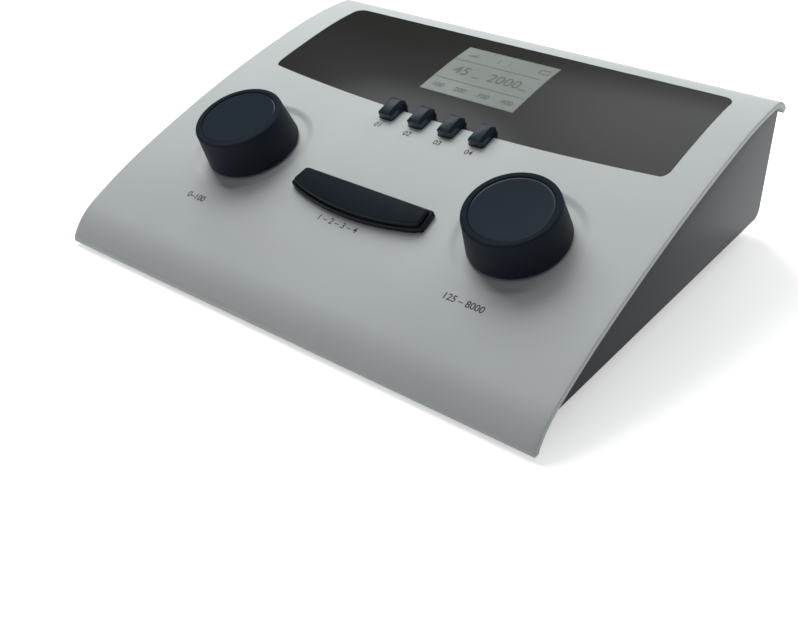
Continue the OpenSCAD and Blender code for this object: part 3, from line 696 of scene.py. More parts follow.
    def modify(self, kind: str, **settings: Any) -> Workpiece:
        """Adds a modifier and applies it."""
        self.hold()
        modifier = self.obj.modifiers.new(kind.lower(), kind)
        for name, value in settings.items():
            setattr(modifier, name, value)
        bpy.ops.object.modifier_apply(modifier=modifier.name)
        return self

    @staticmethod
    def joined(name: str, pieces: list[Workpiece]) -> Workpiece:
        """Joins pieces into one of that name."""
        whole = pieces[0]
        whole.hold()
        for piece in pieces[1:]:
            piece.obj.select_set(True)
        bpy.ops.object.join()
        whole.name = whole.obj.name = name
        return whole

    def combine(self, operation: str, other: Workpiece) -> Workpiece:
        """Cuts, adds or keeps what is shared with another piece, which is used up."""
        self.modify("BOOLEAN", operation=operation, object=other.obj, solver="MANIFOLD")
        bpy.data.objects.remove(other.obj)
        return self

    def bevel(self, width: float, segments: int = 3, angle: float = 35.0) -> Workpiece:
        """Rounds every edge sharper than an angle."""
        return self.modify(
            "BEVEL",
            width=width,
            segments=segments,
            limit_method="ANGLE",
            angle_limit=math.radians(angle),
            miter_outer="MITER_ARC",
        )

    def round_edges(
        self, test: Test, radius: float, segments: int, profile: float = 0.5
    ) -> Workpiece:
        """Rounds the edges that pass a test.

        Args:
            test: Takes an edge's middle and direction.
            radius: How wide the rounding is.
            segments: How many flats it has.
            profile: How full it is, where 0.5 is round.

        Returns:
            The same piece.
        """
        with self.editing("EDGE"):
            self.pick(test, "EDGE")
            bpy.ops.mesh.bevel(offset=radius, segments=segments, profile=profile, affect="EDGES")
        return self

    def move(self, place: Matrix) -> Workpiece:
        """Moves or turns the mesh itself."""
        self.hold()
        self.obj.matrix_world = place
        bpy.ops.object.transform_apply(location=True, rotation=True, scale=True)
        return self

    def settle(
        self, body: str, slot: str, finish: Finish, *nodes: str, smooth: float = 30.0
    ) -> None:
        """Ends the piece: real size, smooth shading, finish, body and the nodes it replaces.

        Args:
            body: The body that it rides on.
            slot: The record's material slot; not used.
            finish: Its finish.
            nodes: The solids that it stands for.
            smooth: The angle below which edges are shaded smooth.
        """
        self.move(Matrix.Scale(MM, 4))
        bpy.ops.object.shade_smooth_by_angle(angle=math.radians(smooth))
        self.obj.data.materials.clear()
        self.obj.data.materials.append(finish.material())
        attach(self.obj, body)
        if nodes:
            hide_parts(*nodes)
        log.info("%s: %d faces", self.name, len(self.obj.data.polygons))


# ---- Cover curve -----------------------------------------------------------------------------


@dataclass(frozen=True)
class Arc:
    """One arc of the cover's side outline."""

    radius: float
    turn: float
    flats: int


@dataclass(frozen=True)
class CoverCurve:
    """The cover's side outline: tangent arcs from the toe to the rear lip."""

    toe_reach: float = 87.9
    toe_lift: float = 1.25
    dial_y: float = -29.0
    arcs: tuple[Arc, ...] = (
        Arc(5.0, 34.0, 8),
        Arc(31.0, 27.5, 12),
        Arc(260.0, 7.0, 22),
        Arc(625.0, 9.0, 66),
        Arc(185.0, 9.3, 20),
        Arc(14.0, 54.0, 22),
    )

    def courses(self) -> list[tuple[Arc, float, float, float]]:
        """Every arc with its heading in degrees and its centre in y and z."""
        found = []
        heading, y, z = 90.0, -self.toe_reach, self.toe_lift
        for arc in self.arcs:
            turn = math.radians(heading)
            centre_y = y + arc.radius * math.sin(turn)
            centre_z = z - arc.radius * math.cos(turn)
            found.append((arc, heading, centre_y, centre_z))
            heading -= arc.turn
            turn = math.radians(heading)
            y = centre_y - arc.radius * math.sin(turn)
            z = centre_z + arc.radius * math.cos(turn)
        return found

    def surface(self, y: float) -> tuple[float, float]:
        """Height and tilt, in degrees, of the outside at a place from front to back."""
        for arc, heading, centre_y, centre_z in self.courses():
            lean = (centre_y - y) / arc.radius
            if abs(lean) <= 1 and math.degrees(math.asin(lean)) >= heading - arc.turn - 0.001:
                height = centre_z + math.sqrt(arc.radius**2 - (centre_y - y) ** 2)
                return height, math.degrees(math.asin(lean))
        raise ValueError(f"the cover doesn't reach y = {y}")

    def tangent(self, x: float, y: float, lift: float = 0.0) -> Matrix:
        """The frame on the outside at a place: x to the right, y up the slope and z outwards."""
        z, tilt = self.surface(y)
        place = Matrix.Translation((x, y, z)) @ Matrix.Rotation(math.radians(tilt), 4, "X")
        return place @ Matrix.Translation((0, 0, lift))

    def controls(self) -> Matrix:
        """The frame of the dials and the tone bar."""
        return self.tangent(0, self.dial_y)

    def roll(self, name: str, depth: float, width: float, columns: int, fine: int = 1) -> Workpiece:
        """Rolls a sheet along the arcs: an edge across the case is spun round each centre.

        Args:
            name: The sheet's name.
            depth: How deep it lies below the outside.
            width: Its width.
            columns: How many faces it has across.
            fine: How many flats share one step of an arc.

        Returns:
            The sheet, facing outwards.
        """
        Workpiece.clear()
        start = Vector((0, -self.toe_reach + depth, self.toe_lift))
        bpy.ops.mesh.primitive_plane_add(size=1, location=start + Vector((0, 0.5, 0)))
        bpy.context.object.scale = (width, 1, 1)
        sheet = Workpiece(name, bpy.context.object)
        with sheet.editing():
            sheet.pick(lambda place, _: place.y > start.y + 0.5)
            bpy.ops.mesh.delete(type="VERT")
            bpy.ops.mesh.select_all(action="SELECT")
            if columns > 1:
                bpy.ops.mesh.subdivide(number_cuts=columns - 1)
            for arc, _, centre_y, centre_z in self.courses():
                bpy.ops.mesh.spin(
                    steps=max(2, arc.flats // fine),
                    angle=math.radians(arc.turn),
                    center=(0, centre_y, centre_z),
                    axis=(1, 0, 0),
                )
            bpy.ops.mesh.select_all(action="SELECT")
            bpy.ops.mesh.normals_make_consistent(inside=False)
            mesh = bmesh.from_edit_mesh(sheet.obj.data)
            if sum(face.normal.z for face in mesh.faces) < 0:
                bpy.ops.mesh.flip_normals()
        return sheet


# ---- Sub-assemblies --------------------------------------------------------------------------


@dataclass
class DisplayPanel:
    """The dark panel inlaid in the cover, with the display window in it."""

    curve: CoverCurve
    width: float = 194.6
    thickness: float = 1.2
    front: float = 10.0
    rear: float = 71.7
    arc_radius: float = 860.0
    corner: float = 4.5
    window_width: float = 47.4
    window_depth: float = 35.4
    window_y: float = 44.0
    window_corner: float = 0.3
    window_margin: float = 0.6
    play: float = 0.08
    clear: float = 0.05
    spare: float = 12.0
    top: float = 80.0

    def outline(self, gap: float) -> Workpiece:
        """The panel's outline as a tall block, smaller by a gap all round."""
        half = self.width / 2 - gap
        block = Workpiece.block(
            "panel_outline",
            Vector((-half, self.front - self.spare, 0)),
            Vector((half, self.rear - gap, self.top)),
        )
        middle = self.front + self.arc_radius + gap
        disc = Workpiece.rod("panel_arc", self.arc_radius, -10, self.top + 10, 2048)
        disc.move(Matrix.Translation((0, middle, 0)))
        block.combine("INTERSECT", disc)
        return block.round_edges(
            lambda place, way: abs(way.z) > 0.9 and abs(place.x) > half - 0.01, self.corner, 10
        )

    def window(self, gap: float) -> Workpiece:
        """The window's outline as a tall block, smaller by a gap all round."""
        half = Vector((self.window_width / 2 - gap, self.window_depth / 2 - gap, 0))
        middle = Vector((0, self.window_y, 0))
        block = Workpiece.block(
            "window_outline", middle - half, middle + half + Vector((0, 0, self.top))
        )
        return block.round_edges(lambda _, way: abs(way.z) > 0.9, self.window_corner, 4)

    def skin(self, name: str, above: float, below: float, columns: int, fine: int) -> Workpiece:
        """A layer of the cover between a height above its outside and a depth below it."""
        sheet = self.curve.roll(name, -above, self.width + self.spare, columns, fine)
        return sheet.modify(
            "SOLIDIFY", thickness=above + below, offset=-1.0, use_even_offset=True
        )

    def build(self, keys: list[FunctionKey]) -> None:
        """Builds the panel and its window."""
        panel = self.skin("display_panel_face", 0.0, self.thickness - self.clear, 86, 1)
        panel.combine("INTERSECT", self.outline(self.play))
        panel.combine("DIFFERENCE", self.window(0.0))
        for key in keys:
            panel.combine("DIFFERENCE", key.slot(self.curve))
        panel.settle("housing", "panel_gloss", Finish.PANEL, "display_panel", smooth=25)
        low = self.thickness + self.window_margin
        window = self.skin("display_window_face", -self.clear, low, 43, 1)
        window.combine("INTERSECT", self.window(self.play))
        window.settle("housing", "window_grey", Finish.LCD, "display_window", smooth=25)


@dataclass
class DisplayLayout:
    """A plain layout on the display: two values, two rules, small signs and four numbers.

    Places are shares of the window's width from the left and of its depth from the rear.
    """

    curve: CoverCurve
    panel: DisplayPanel
    lift: float = 0.012
    thickness: float = 0.006
    rule: tuple[float, float] = (44.0, 0.25)
    rule_places: tuple[tuple[float, float], ...] = ((0.47, 0.32), (0.49, 0.73))
    value_height: float = 5.6
    value_down: float = 0.525
    values: tuple[tuple[str, float], ...] = (("45", 0.2), ("2000", 0.66))
    dash: tuple[float, float] = (3.4, 0.5)
    dash_places: tuple[tuple[float, float], ...] = ((0.375, 0.59), (0.875, 0.59))
    tick: tuple[float, float] = (0.35, 2.6)
    tick_places: tuple[tuple[float, float], ...] = ((0.42, 0.17), (0.54, 0.17))
    frame: tuple[float, float, float] = (4.6, 3.0, 0.3)
    frame_place: tuple[float, float] = (0.9, 0.16)
    number_height: float = 2.8
    number_down: float = 0.87

    def place(self, piece: Workpiece, across: float, down: float) -> Workpiece:
        """Lays a flat piece on the window, by shares of its width and depth."""
        x = (across - 0.5) * self.panel.window_width
        y = self.panel.window_y + (0.5 - down) * self.panel.window_depth
        return piece.move(self.curve.tangent(x, y, self.lift))

    def bar(self, width: float, depth: float) -> Workpiece:
        """A thin flat bar, middle at the origin."""
        Workpiece.clear()
        bpy.ops.mesh.primitive_plane_add(size=1)
        bpy.context.object.scale = (width, depth, 1)
        return Workpiece("display_bar", bpy.context.object).raised(self.thickness)

    def box(self, width: float, depth: float, line: float) -> list[Workpiece]:
        """The four sides of an open box."""
        sides = []
        for side in (-1, 1):
            low, high = Vector((0, side * depth / 2, 0)), Vector((side * width / 2, 0, 0))
            sides.append(self.bar(width, line).move(Matrix.Translation(low)))
            sides.append(self.bar(line, depth).move(Matrix.Translation(high)))
        return sides

    def build(self) -> None:
        """Builds every mark of the display as one thin piece."""
        name = "display_text"
        marks = [self.place(self.bar(*self.rule), *spot) for spot in self.rule_places]
        for (text, across), spot in zip(self.values, self.dash_places):
            value = Workpiece.lettering(name, text, self.value_height)
            marks.append(self.place(value, across, self.value_down))
            marks.append(self.place(self.bar(*self.dash), *spot))
        marks += [self.place(self.bar(*self.tick), *spot) for spot in self.tick_places]
        marks += [self.place(side, *self.frame_place) for side in self.box(*self.frame)]
        for step in range(4):
            height = 0.8 + 0.6 * step
            stroke = self.bar(0.55, height)
            marks.append(self.place(stroke, 0.1 + 0.025 * step, 0.21 - height / 70))
        for number in range(4):
            figures = Workpiece.lettering(name, f"{number + 1}00", self.number_height)
            marks.append(self.place(figures, 0.13 + 0.245 * number, self.number_down))
        whole = Workpiece.joined("display_marks", marks)
        whole.settle("housing", "window_grey", Finish.SEGMENT)


@dataclass
class FunctionKey:
    """One of the four glossy keys along the panel's front edge."""

    index: int
    pitch: float = 15.0
    width: float = 7.0
    length: float = 10.8
    up: float = 39.4
    slope_radius: float = 625.0
    play: float = 0.25
    corner: float = 1.2
    reach: float = 6.0

    def place(self, curve: CoverCurve) -> Matrix:
        """The key's frame on the slope."""
        sag = self.slope_radius - math.sqrt(self.slope_radius**2 - self.up**2)
        x = (self.index - 1.5) * self.pitch
        return curve.controls() @ Matrix.Translation((x, self.up, -sag))

    def slot(self, curve: CoverCurve) -> Workpiece:
        """The key's hole as a block across the cover."""
        half = Vector((self.width / 2 + self.play, self.length / 2 + self.play, self.reach))
        block = Workpiece.block(f"key_hole_{self.index}", -half, half)
        block.round_edges(lambda _, way: abs(way.z) > 0.9, self.corner, 6)
        return block.move(self.place(curve))

    def build(self) -> None:
        """Builds the cap with softened edges."""
        number = self.index + 1
        node = f"function_key_{number}"
        cap = Workpiece.copy_of(node, f"{node}_cap").bevel(0.28, 3, 18)
        cap.settle(f"key_{number}", "key_gloss", Finish.KEY, node, smooth=20)


@dataclass
class TopCover:
    """The rolled cover: one skin from toe to lip, with dishes, a recess and holes."""

    curve: CoverCurve
    panel: DisplayPanel
    keys: list[FunctionKey]
    bar: ToneBar
    width: float = 225.0
    wall: float = 2.4
    edge: float = 0.7
    dial_x: float = 65.5
    dish_radius: float = 25.5
    dish_floor: float = 21.8
    dish_depth: float = 1.0
    dish_cuts: int = 3
    bush_radius: float = 3.65

    def sink_dishes(self, sheet: Workpiece) -> None:
        """Presses the two dishes into the sheet, deepest under the dials."""
        to_controls = self.curve.controls().inverted()

        def reach(spot: Vector) -> float:
            """How far a spot lies from the nearer dial's axis."""
            place = to_controls @ spot
            return math.hypot(abs(place.x) - self.dial_x, place.y)

        with sheet.editing("FACE"):
            sheet.pick(lambda middle, _: reach(middle) < self.dish_radius + 4, "FACE")
            bpy.ops.mesh.subdivide(number_cuts=self.dish_cuts)
        group = sheet.obj.vertex_groups.new(name="dishes")
        for vert in sheet.obj.data.vertices:
            share = (reach(vert.co) - self.dish_floor) / (self.dish_radius - self.dish_floor)
            if share < 1:
                share = max(0.0, share)
                depth = 1 - share * share * (3 - 2 * share)
                group.add([vert.index], depth, "REPLACE")
        sheet.modify(
            "DISPLACE",
            vertex_group="dishes",
            direction="NORMAL",
            mid_level=0.0,
            strength=-self.dish_depth,
        )

    def holes(self) -> Workpiece:
        """Every hole through the cover as one set of cutters."""
        controls = self.curve.controls()
        cutters = [key.slot(self.curve) for key in self.keys]
        for side in (-1, 1):
            bush = Workpiece.rod("bush_hole", self.bush_radius, -8, 4, 48)
            cutters.append(bush.move(controls @ Matrix.Translation((side * self.dial_x, 0, 0))))
        slot = self.bar.prism("bar_hole", self.bar.root, self.bar.root, -8, 4)
        return Workpiece.joined("cover_holes", [*cutters, slot.move(controls)])

    def build(self) -> None:
        """Builds the cover."""
        cover = self.curve.roll("top_cover_shell", 0.0, self.width, 101)
        self.sink_dishes(cover)
        cover.modify("SOLIDIFY", thickness=self.wall, offset=-1.0, use_even_offset=True)
        cover.bevel(self.edge, 4, 40)
        recess = self.panel.skin("panel_recess", 1.0, self.panel.thickness, 1, 2)
        recess.combine("INTERSECT", self.panel.outline(0.0))
        cover.combine("DIFFERENCE", recess)
        cover.combine("DIFFERENCE", self.panel.window(-self.panel.window_margin))
        cover.combine("DIFFERENCE", self.holes())
        cover.settle("housing", "cover_plastic", Finish.COVER, "top_cover")


class Side(Enum):
    """The two dials."""

    LEFT = -1
    RIGHT = 1


@dataclass
class Dial:
    """A knob with its glossy disc."""

    side: Side
    curve: CoverCurve
    offset: float = 65.5
    radius: float = 18.6
    flare: float = 0.4
    draft: float = 1.0
    height: float = 13.8
    edge: float = 0.8
    disc_radius: float = 15.0
    pocket: float = 1.5
    skin: float = 2.0
    hub: float = 6.0
    bore: float = 3.02
    foot: float = -0.3
    hub_foot: float = 3.4
    roof: float = 1.6
    disc_play: float = 0.1
    lip_edge: float = 0.25
    foot_edge: float = 0.4
    disc_drop: float = 0.25
    disc_dish: float = 0.2
    disc_edge: float = 0.3
    disc_land: float = 0.9

    @staticmethod
    def round_edge(x: float, z: float, radius: float, turns: list[float]) -> Outline:
        """Points of a rounded edge round a centre, at the given angles in degrees."""
        spokes = [(math.cos(math.radians(turn)), math.sin(math.radians(turn))) for turn in turns]
        return [(x + radius * right, z + radius * up) for right, up in spokes]

    def knob(self) -> Workpiece:
        """Turns the knob's shell with its hub."""
        top = self.radius - self.draft
        roof = self.height - self.pocket - self.roof
        lip = self.disc_radius + self.disc_play
        foot = self.radius + self.flare
        inner, outer = self.lip_edge, self.foot_edge
        quarter = [90 - 90 * step / 10 for step in range(11)]
        profile = [(0, self.height - self.pocket), (lip, self.height - self.pocket)]
        profile += self.round_edge(
            lip + inner, self.height - inner, inner, [180, 157, 135, 112, 90]
        )
        profile += self.round_edge(top - self.edge, self.height - self.edge, self.edge, quarter)
        profile += self.round_edge(foot - outer, self.foot + outer, outer, [0, -30, -60, -90])
        profile += [
            (foot - self.skin, self.foot),
            (top - self.skin, roof),
            (self.hub, roof),
            (self.hub, self.hub_foot),
            (self.bore, self.hub_foot),
            (self.bore, roof),
            (0, roof),
        ]
        return Workpiece.lathe(f"{self.side.name.lower()}_knob_shell", profile)

    def disc(self) -> Workpiece:
        """Turns the disc with its shallow dished face."""
        low = self.height - self.pocket
        high = self.height - self.disc_drop
        face = self.disc_radius - self.disc_land
        edge = self.disc_edge
        profile = [(0, low), (self.disc_radius, low), (self.disc_radius, high - edge)]
        profile += self.round_edge(self.disc_radius - edge, high - edge, edge, [30, 60, 90])
        profile += [(face, high)]
        for step in range(11, -1, -1):
            share = step / 12
            profile.append((face * share, high - self.disc_dish * (1 - share**2)))
        return Workpiece.lathe(f"{self.side.name.lower()}_disc_face", profile)

    def build(self) -> None:
        """Builds both pieces in place."""
        name = self.side.name.lower()
        place = self.curve.controls() @ Matrix.Translation((self.side.value * self.offset, 0, 0))
        knob = self.knob().move(place)
        knob.settle(f"{name}_dial", "knob_soft_touch", Finish.KNOB, f"{name}_knob")
        disc = self.disc().move(place)
        disc.settle(f"{name}_dial", "knob_disc_gloss", Finish.DISC, f"{name}_knob_disc")


@dataclass
class ToneBar:
    """The tone bar's cap and its collar: straight behind, bowed in front."""

    curve: CoverCurve
    front_x: float = 30.8
    rear_x: float = 30.0
    corner_v: float = -11.9
    rear_v: float = -4.0
    arc_radius: float = 101.0
    gap: float = 0.2
    top: float = 3.8
    top_edge: float = 0.6
    corner: float = 1.4
    flange: float = 0.7
    flange_top: float = -3.3
    flange_low: float = -4.5
    stem_end: float = -6.0
    post_x: float = 21.0
    post_radius: float = 1.4
    post_end: float = -7.4
    middle_v: float = -9.6
    stem: tuple[float, float] = (3.0, 2.5)
    overlap: float = 0.2
    collar_width: float = 1.4
    collar_rear: float = 1.2
    collar_top: float = 2.0
    collar_edge: float = 0.5
    root: float = 1.0
    root_low: float = -2.2

    def outline(self, grow: float, grow_rear: float) -> Outline:
        """The bar's outline, grown by one width in front and another behind."""
        front_x, rear_x = self.front_x + grow, self.rear_x + grow
        front, rear = self.corner_v - 0.4 * grow, self.rear_v + grow_rear
        radius = self.arc_radius + grow
        rise = math.sqrt(radius**2 - front_x**2)
        inner = front_x - 3.0
        corners = [(front_x, front), (rear_x, rear), (-rear_x, rear), (-front_x, front)]
        aim = (inner - 6.0, front + rise - math.sqrt(radius**2 - inner**2))
        ring = [(-aim[0], aim[1]), *corners, aim]
        points: Outline = []
        for before, here, after in zip(ring, ring[1:], ring[2:]):
            points += self.fillet(Vector(before), Vector(here), Vector(after))
        for step in range(41):
            x = inner * (step / 20 - 1)
            points.append((x, front + rise - math.sqrt(radius**2 - x**2)))
        return points

    def fillet(self, before: Vector, here: Vector, after: Vector) -> Outline:
        """Points round one corner between two others."""
        first, last = (before - here).normalized(), (after - here).normalized()
        half = first.angle(last) / 2
        centre = here + (first + last).normalized() * self.corner / math.sin(half)
        reach = self.corner / math.tan(half)
        start, end = here + first * reach - centre, here + last * reach - centre
        turn = start.angle_signed(end)
        points = []
        for step in range(9):
            spoke = start.copy()
            spoke.rotate(Matrix.Rotation(-turn * step / 8, 2))
            points.append(tuple(centre + spoke))
        return points

    def prism(
        self, name: str, grow: float, grow_rear: float, low: float, high: float, edge: float = 0.0
    ) -> Workpiece:
        """An upright prism on the outline, with its top edge rounded."""
        slab = Workpiece.slab(name, self.outline(grow, grow_rear), low, high)
        if edge:
            slab.round_edges(
                lambda place, way: place.z > high - 0.01 and abs(way.z) < 0.1, edge, 4, 0.45
            )
        return slab

    def cap(self) -> Workpiece:
        """The moving cap with its flange, its stem and its guide posts."""
        gap, flange, root = self.gap, self.flange, self.flange_low + self.overlap
        low = self.flange_top - self.overlap
        cap = self.prism("tone_bar_cap", -gap, -gap, low, self.top, self.top_edge)
        below = [self.prism("flange", flange, flange, self.flange_low, self.flange_top)]
        half_x, half_v = self.stem
        below.append(
            Workpiece.block(
                "stem",
                Vector((-half_x, self.middle_v - half_v, self.stem_end)),
                Vector((half_x, self.middle_v + half_v, root)),
            )
        )
        for side in (-1, 1):
            post = Workpiece.rod("post", self.post_radius, self.post_end, root, 32)
            below.append(post.move(Matrix.Translation((side * self.post_x, self.middle_v, 0))))
        for piece in below:
            cap.combine("UNION", piece)
        return cap

    def collar(self) -> Workpiece:
        """The fixed rim with its root in the cover's hole."""
        width, rear, top = self.collar_width, self.collar_rear, self.collar_top
        collar = self.prism("tone_bar_rim", width, rear, 0.02, top, self.collar_edge)
        root = self.root - 0.1
        collar.combine("UNION", self.prism("root", root, root, self.root_low, 0.1))
        collar.combine("DIFFERENCE", self.prism("hole", 0.0, 0.0, -6.0, 6.0))
        return collar

    def build(self) -> None:
        """Builds both pieces in place."""
        place = self.curve.controls()
        cap = self.cap().move(place)
        cap.settle("tone_key", "bar_satin", Finish.BAR, "tone_bar")
        collar = self.collar().bevel(0.12, 2, 50).move(place)
        collar.settle("housing", "black_plastic", Finish.COLLAR, "tone_bar_collar")


@dataclass
class SoftenedPart:
    """A solid that keeps its shape and gets softened edges and a finish."""

    node: str
    body: str
    slot: str
    finish: Finish
    width: float = 0.25

    def build(self) -> None:
        """Builds the softened copy."""
        piece = Workpiece.copy_of(self.node, f"{self.node}_shape").bevel(self.width)
        piece.settle(self.body, self.slot, self.finish, self.node, smooth=40)


@dataclass
class Legends:
    """Plain numbers and signs printed beside the controls."""

    curve: CoverCurve
    lift: float = 0.01
    weight: float = 0.05
    key_height: float = 2.5
    key_start: tuple[float, float] = (-23.1, -0.6)
    key_pitch: float = 15.1
    height: float = 2.6
    texts: tuple[tuple[str, float, float], ...] = (
        ("0–100", -67.4, -58.9),
        ("1 – 2 – 3 – 4", -1.7, -48.6),
        ("125 – 8000", 63.8, -58.6),
    )

    def sign(self, text: str, height: float, x: float, y: float) -> Workpiece:
        """One sign, laid on the cover."""
        flat = Workpiece.lettering("sign", text, height, self.weight)
        return flat.move(self.curve.tangent(x, y, self.lift))

    def build(self) -> None:
        """Prints every sign on the cover."""
        x, y = self.key_start
        signs = [
            self.sign(f"0{number + 1}", self.key_height, number * self.key_pitch + x, y)
            for number in range(4)
        ]
        signs += [self.sign(text, self.height, *spot) for text, *spot in self.texts]
        Workpiece.joined("printed_signs", signs).settle("housing", "black_plastic", Finish.PRINT)


@dataclass
class InnerParts:
    """Solids that keep their own mesh and only get a finish."""

    nodes: dict[Finish, str]

    def build(self) -> None:
        """Puts each finish on its solids."""
        for finish, names in self.nodes.items():
            for name in names.split():
                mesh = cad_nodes[name].data
                mesh.materials.clear()
                mesh.materials.append(finish.material())
                log.info("%s keeps its mesh", name)


# ---- Studio ----------------------------------------------------------------------------------


@dataclass
class Studio:
    """Camera, floor, world and lamps."""

    frame_px: tuple[int, int] = (798, 630)
    focal_px: float = 878.56
    centre_px: tuple[float, float] = (553.97, 381.95)
    camera_mm: Vector = Vector((218.2, -248.7, 181.5))
    right: Vector = Vector((0.8372, 0.5462, 0.0281))
    down: Vector = Vector((0.3559, -0.5050, -0.7863))
    sensor: float = 36.0
    floor_glow: float = 0.52
    floor_fade: tuple[float, float] = (0.3, 1.0)
    floor_bounce: Colour = (0.9, 0.9, 0.9, 1.0)
    room: Colour = (0.2, 0.205, 0.21, 1.0)
    ceiling: Colour = (0.5, 0.51, 0.53, 1.0)
    ceiling_edge: tuple[float, float] = (0.86, 0.95)
    wall: Colour = (0.04, 0.041, 0.042, 1.0)
    wall_edge: tuple[float, float] = (0.3, 0.7)
    horizon: Colour = (1.0, 1.01, 1.03, 1.0)
    horizon_edge: tuple[float, float] = (0.7, 0.95)
    horizon_top: tuple[float, float] = (0.2, 0.5)
    box_way: Vector = Vector((-0.27, 0.58, 0.77))
    box_rim: Colour = (0.2, 0.205, 0.21, 1.0)
    box_edge: tuple[float, float] = (0.925, 0.94)
    box_core: Colour = (0.8, 0.81, 0.83, 1.0)
    core_edge: tuple[float, float] = (0.94, 0.99)
    right_edge: tuple[float, float] = (0.3, 0.6)
    right_foot: tuple[float, float] = (0.1, 0.3)
    strip_way: Vector = Vector((-0.606, 0.364, 0.707))
    strip: Colour = (1.0, 1.03, 1.08, 1.0)
    strip_edge: tuple[float, float] = (0.991, 0.997)

    def camera(self) -> None:
        """Places the camera where the photograph was taken from."""
        lens = bpy.data.cameras.new("camera")
        lens.sensor_width = self.sensor
        lens.lens = self.focal_px / self.frame_px[0] * self.sensor
        lens.shift_x = (self.frame_px[0] / 2 - self.centre_px[0]) / self.frame_px[0]
        lens.shift_y = (self.centre_px[1] - self.frame_px[1] / 2) / self.frame_px[0]
        lens.clip_start = 0.01
        eye = bpy.data.objects.new("camera", lens)
        bpy.context.scene.collection.objects.link(eye)
        right = self.right.normalized()
        up = -(self.down - right * self.down.dot(right)).normalized()
        turned = Matrix((right, up, right.cross(up))).transposed().to_4x4()
        eye.matrix_world = Matrix.Translation(self.camera_mm * MM) @ turned
        bpy.context.scene.camera = eye

    def floor(self) -> None:
        """Lays a white floor that keeps the object's soft shadow."""
        Workpiece.clear()
        bpy.ops.mesh.primitive_plane_add(size=6, location=(0, 0, 0))
        floor = bpy.context.object
        floor.name = "floor"
        graph = Graph.finish("floor_paper")
        paper = graph.noise(4.0, 2.0)
        shade = graph.blend(paper, (0.93, 0.93, 0.93, 1), (0.95, 0.95, 0.95, 1))
        matt = graph.add("ShaderNodeBsdfDiffuse", {}, {"Color": shade})
        x, y, _ = graph.axes()
        reach = (x * x + y * y).maths("SQRT")
        light = graph.blend(reach.step(*self.floor_fade), scaled(WHITE, self.floor_glow), WHITE)
        glow = graph.add("ShaderNodeEmission", {}, {"Color": light, "Strength": 1.0})
        white = graph.add("ShaderNodeAddShader", {}, {0: matt, 1: glow})
        dim = graph.add("ShaderNodeBsdfDiffuse", {}, {"Color": self.floor_bounce})
        shown = graph.add("ShaderNodeMixShader", {}, {0: graph.seen(), 1: dim, 2: white})
        graph.node("ShaderNodeOutputMaterial", {}, {"Surface": shown})
        floor.data.materials.append(graph.owner)

    def world(self) -> None:
        """Fills the room with soft light.

        A soft box hangs behind, with dark walls to the left and the right, a pale horizon behind
        and one small bright patch that the keys mirror.
        """
        world = bpy.data.worlds.new("world")
        bpy.context.scene.world = world
        graph = Graph(world)
        where = graph.node("ShaderNodeTexCoord", {}, {})
        x, y, z = graph.axes(Wire(graph, where.outputs["Generated"]))
        facing, toward = (
            x * way.x + y * way.y + z * way.z for way in (self.box_way, self.strip_way)
        )
        room = graph.blend(z.step(*self.ceiling_edge), self.room, self.ceiling)
        room = graph.blend((y * 0.2 - x).step(*self.wall_edge), room, self.wall)
        right = x.step(*self.right_edge) * z.step(*self.right_foot)
        room = graph.blend(right, room, self.wall)
        behind = y.step(*self.horizon_edge) * (1 - z.step(*self.horizon_top))
        room = graph.blend(behind, room, self.horizon)
        room = graph.blend(facing.step(*self.box_edge), room, self.box_rim)
        room = graph.blend(facing.step(*self.core_edge), room, self.box_core)
        room = graph.blend(toward.step(*self.strip_edge), room, self.strip)
        light = graph.add("ShaderNodeBackground", {}, {"Color": room, "Strength": 1.0})
        white = graph.add("ShaderNodeBackground", {}, {"Color": WHITE, "Strength": 1.0})
        path = graph.node("ShaderNodeLightPath", {}, {})
        camera = Wire(graph, path.outputs["Is Camera Ray"])
        shown = graph.add("ShaderNodeMixShader", {}, {0: camera, 1: light, 2: white})
        graph.node("ShaderNodeOutputWorld", {}, {"Surface": shown})

    def lamp(self, name: str, place: Vector, aim: Vector, size: float, watts: float) -> None:
        """Hangs a square soft lamp that shines at a point, in metres."""
        light = bpy.data.lights.new(name, "AREA")
        light.size = size
        light.energy = watts
        lamp = bpy.data.objects.new(name, light)
        lamp.visible_glossy = False
        bpy.context.scene.collection.objects.link(lamp)
        turn = (aim - place).to_track_quat("-Z", "Y").to_matrix().to_4x4()
        lamp.matrix_world = Matrix.Translation(place) @ turn

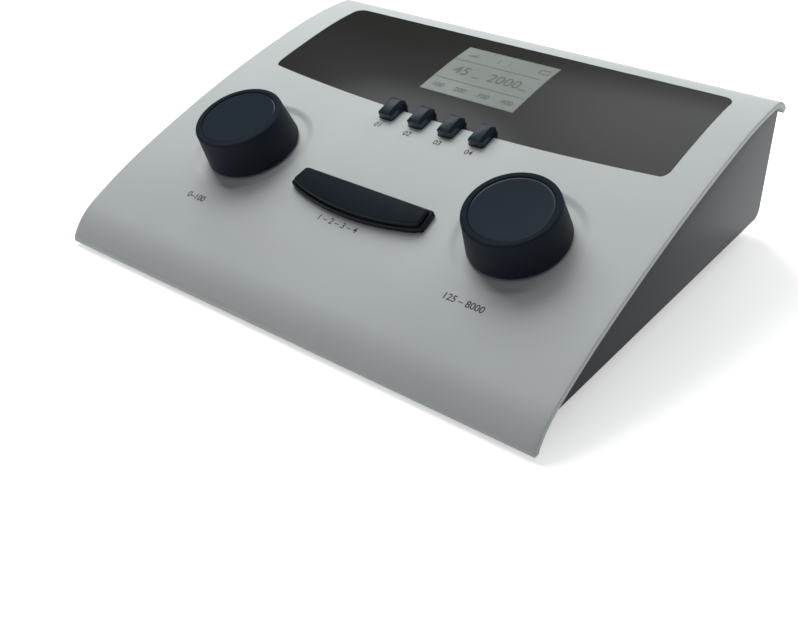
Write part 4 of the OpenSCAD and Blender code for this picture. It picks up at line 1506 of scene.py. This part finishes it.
    def build(self) -> None:
        """Sets up the whole studio."""
        bpy.context.scene.view_settings.view_transform = "Standard"
        self.camera()
        self.floor()
        self.world()
        middle = Vector((0, 0, 0.04))
        self.lamp("key_light", Vector((-0.65, 0.4, 0.85)), middle, 0.75, 12.2)
        self.lamp("rear_light", Vector((0.15, 0.9, 0.55)), middle, 0.7, 3.4)


# ---- The whole ---------------------------------------------------------------------------------

PLAIN_PARTS: dict[Finish, str] = {
    Finish.GLASS: "lcd_glass",
    Finish.STEEL: (
        "lcd_frame lcd_screws board_screws left_encoder right_encoder left_shaft "
        "right_shaft tone_bar_springs battery_contacts case_screws usb_socket"
    ),
    Finish.LIGHT: "backlight",
    Finish.BOARD: "lcd_board main_board rear_board",
    Finish.BLACK: "board_chips key_switches tone_switch",
    Finish.PLUNGER: "key_plunger_1 key_plunger_2 key_plunger_3 key_plunger_4 tone_plunger",
    Finish.CELL: "battery_cells",
    Finish.RIBBON: "ribbon_cables",
    Finish.RUBBER: "rubber_feet",
}

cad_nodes: dict[str, bpy.types.Object] = {}


def softened_parts() -> list[SoftenedPart]:
    """The solids that keep their shape with softened edges."""
    fixed = ("left_phone_socket", "right_phone_socket", "response_socket", "power_switch")
    return [
        SoftenedPart("base_housing", "housing", "base_plastic", Finish.BASE, 0.4),
        SoftenedPart("battery_door", "door", "base_plastic", Finish.BASE),
        *(SoftenedPart(node, "housing", "black_plastic", Finish.BLACK) for node in fixed),
        SoftenedPart("power_rocker", "rocker", "knob_soft_touch", Finish.BLACK, 0.3),
    ]


def main() -> None:
    """Builds the dressed part round its frame."""
    logging.basicConfig(level=logging.INFO, format="%(message)s")
    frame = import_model()
    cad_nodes.update(frame["nodes"])
    curve = CoverCurve()
    keys = [FunctionKey(index) for index in range(4)]
    panel = DisplayPanel(curve)
    Studio().build()
    bar = ToneBar(curve)
    TopCover(curve, panel, keys, bar).build()
    panel.build(keys)
    DisplayLayout(curve, panel).build()
    for key in keys:
        key.build()
    for side in Side:
        Dial(side, curve).build()
    bar.build()
    for part in softened_parts():
        part.build()
    Legends(curve).build()
    InnerParts(PLAIN_PARTS).build()


if __name__ == "__main__":
    main()
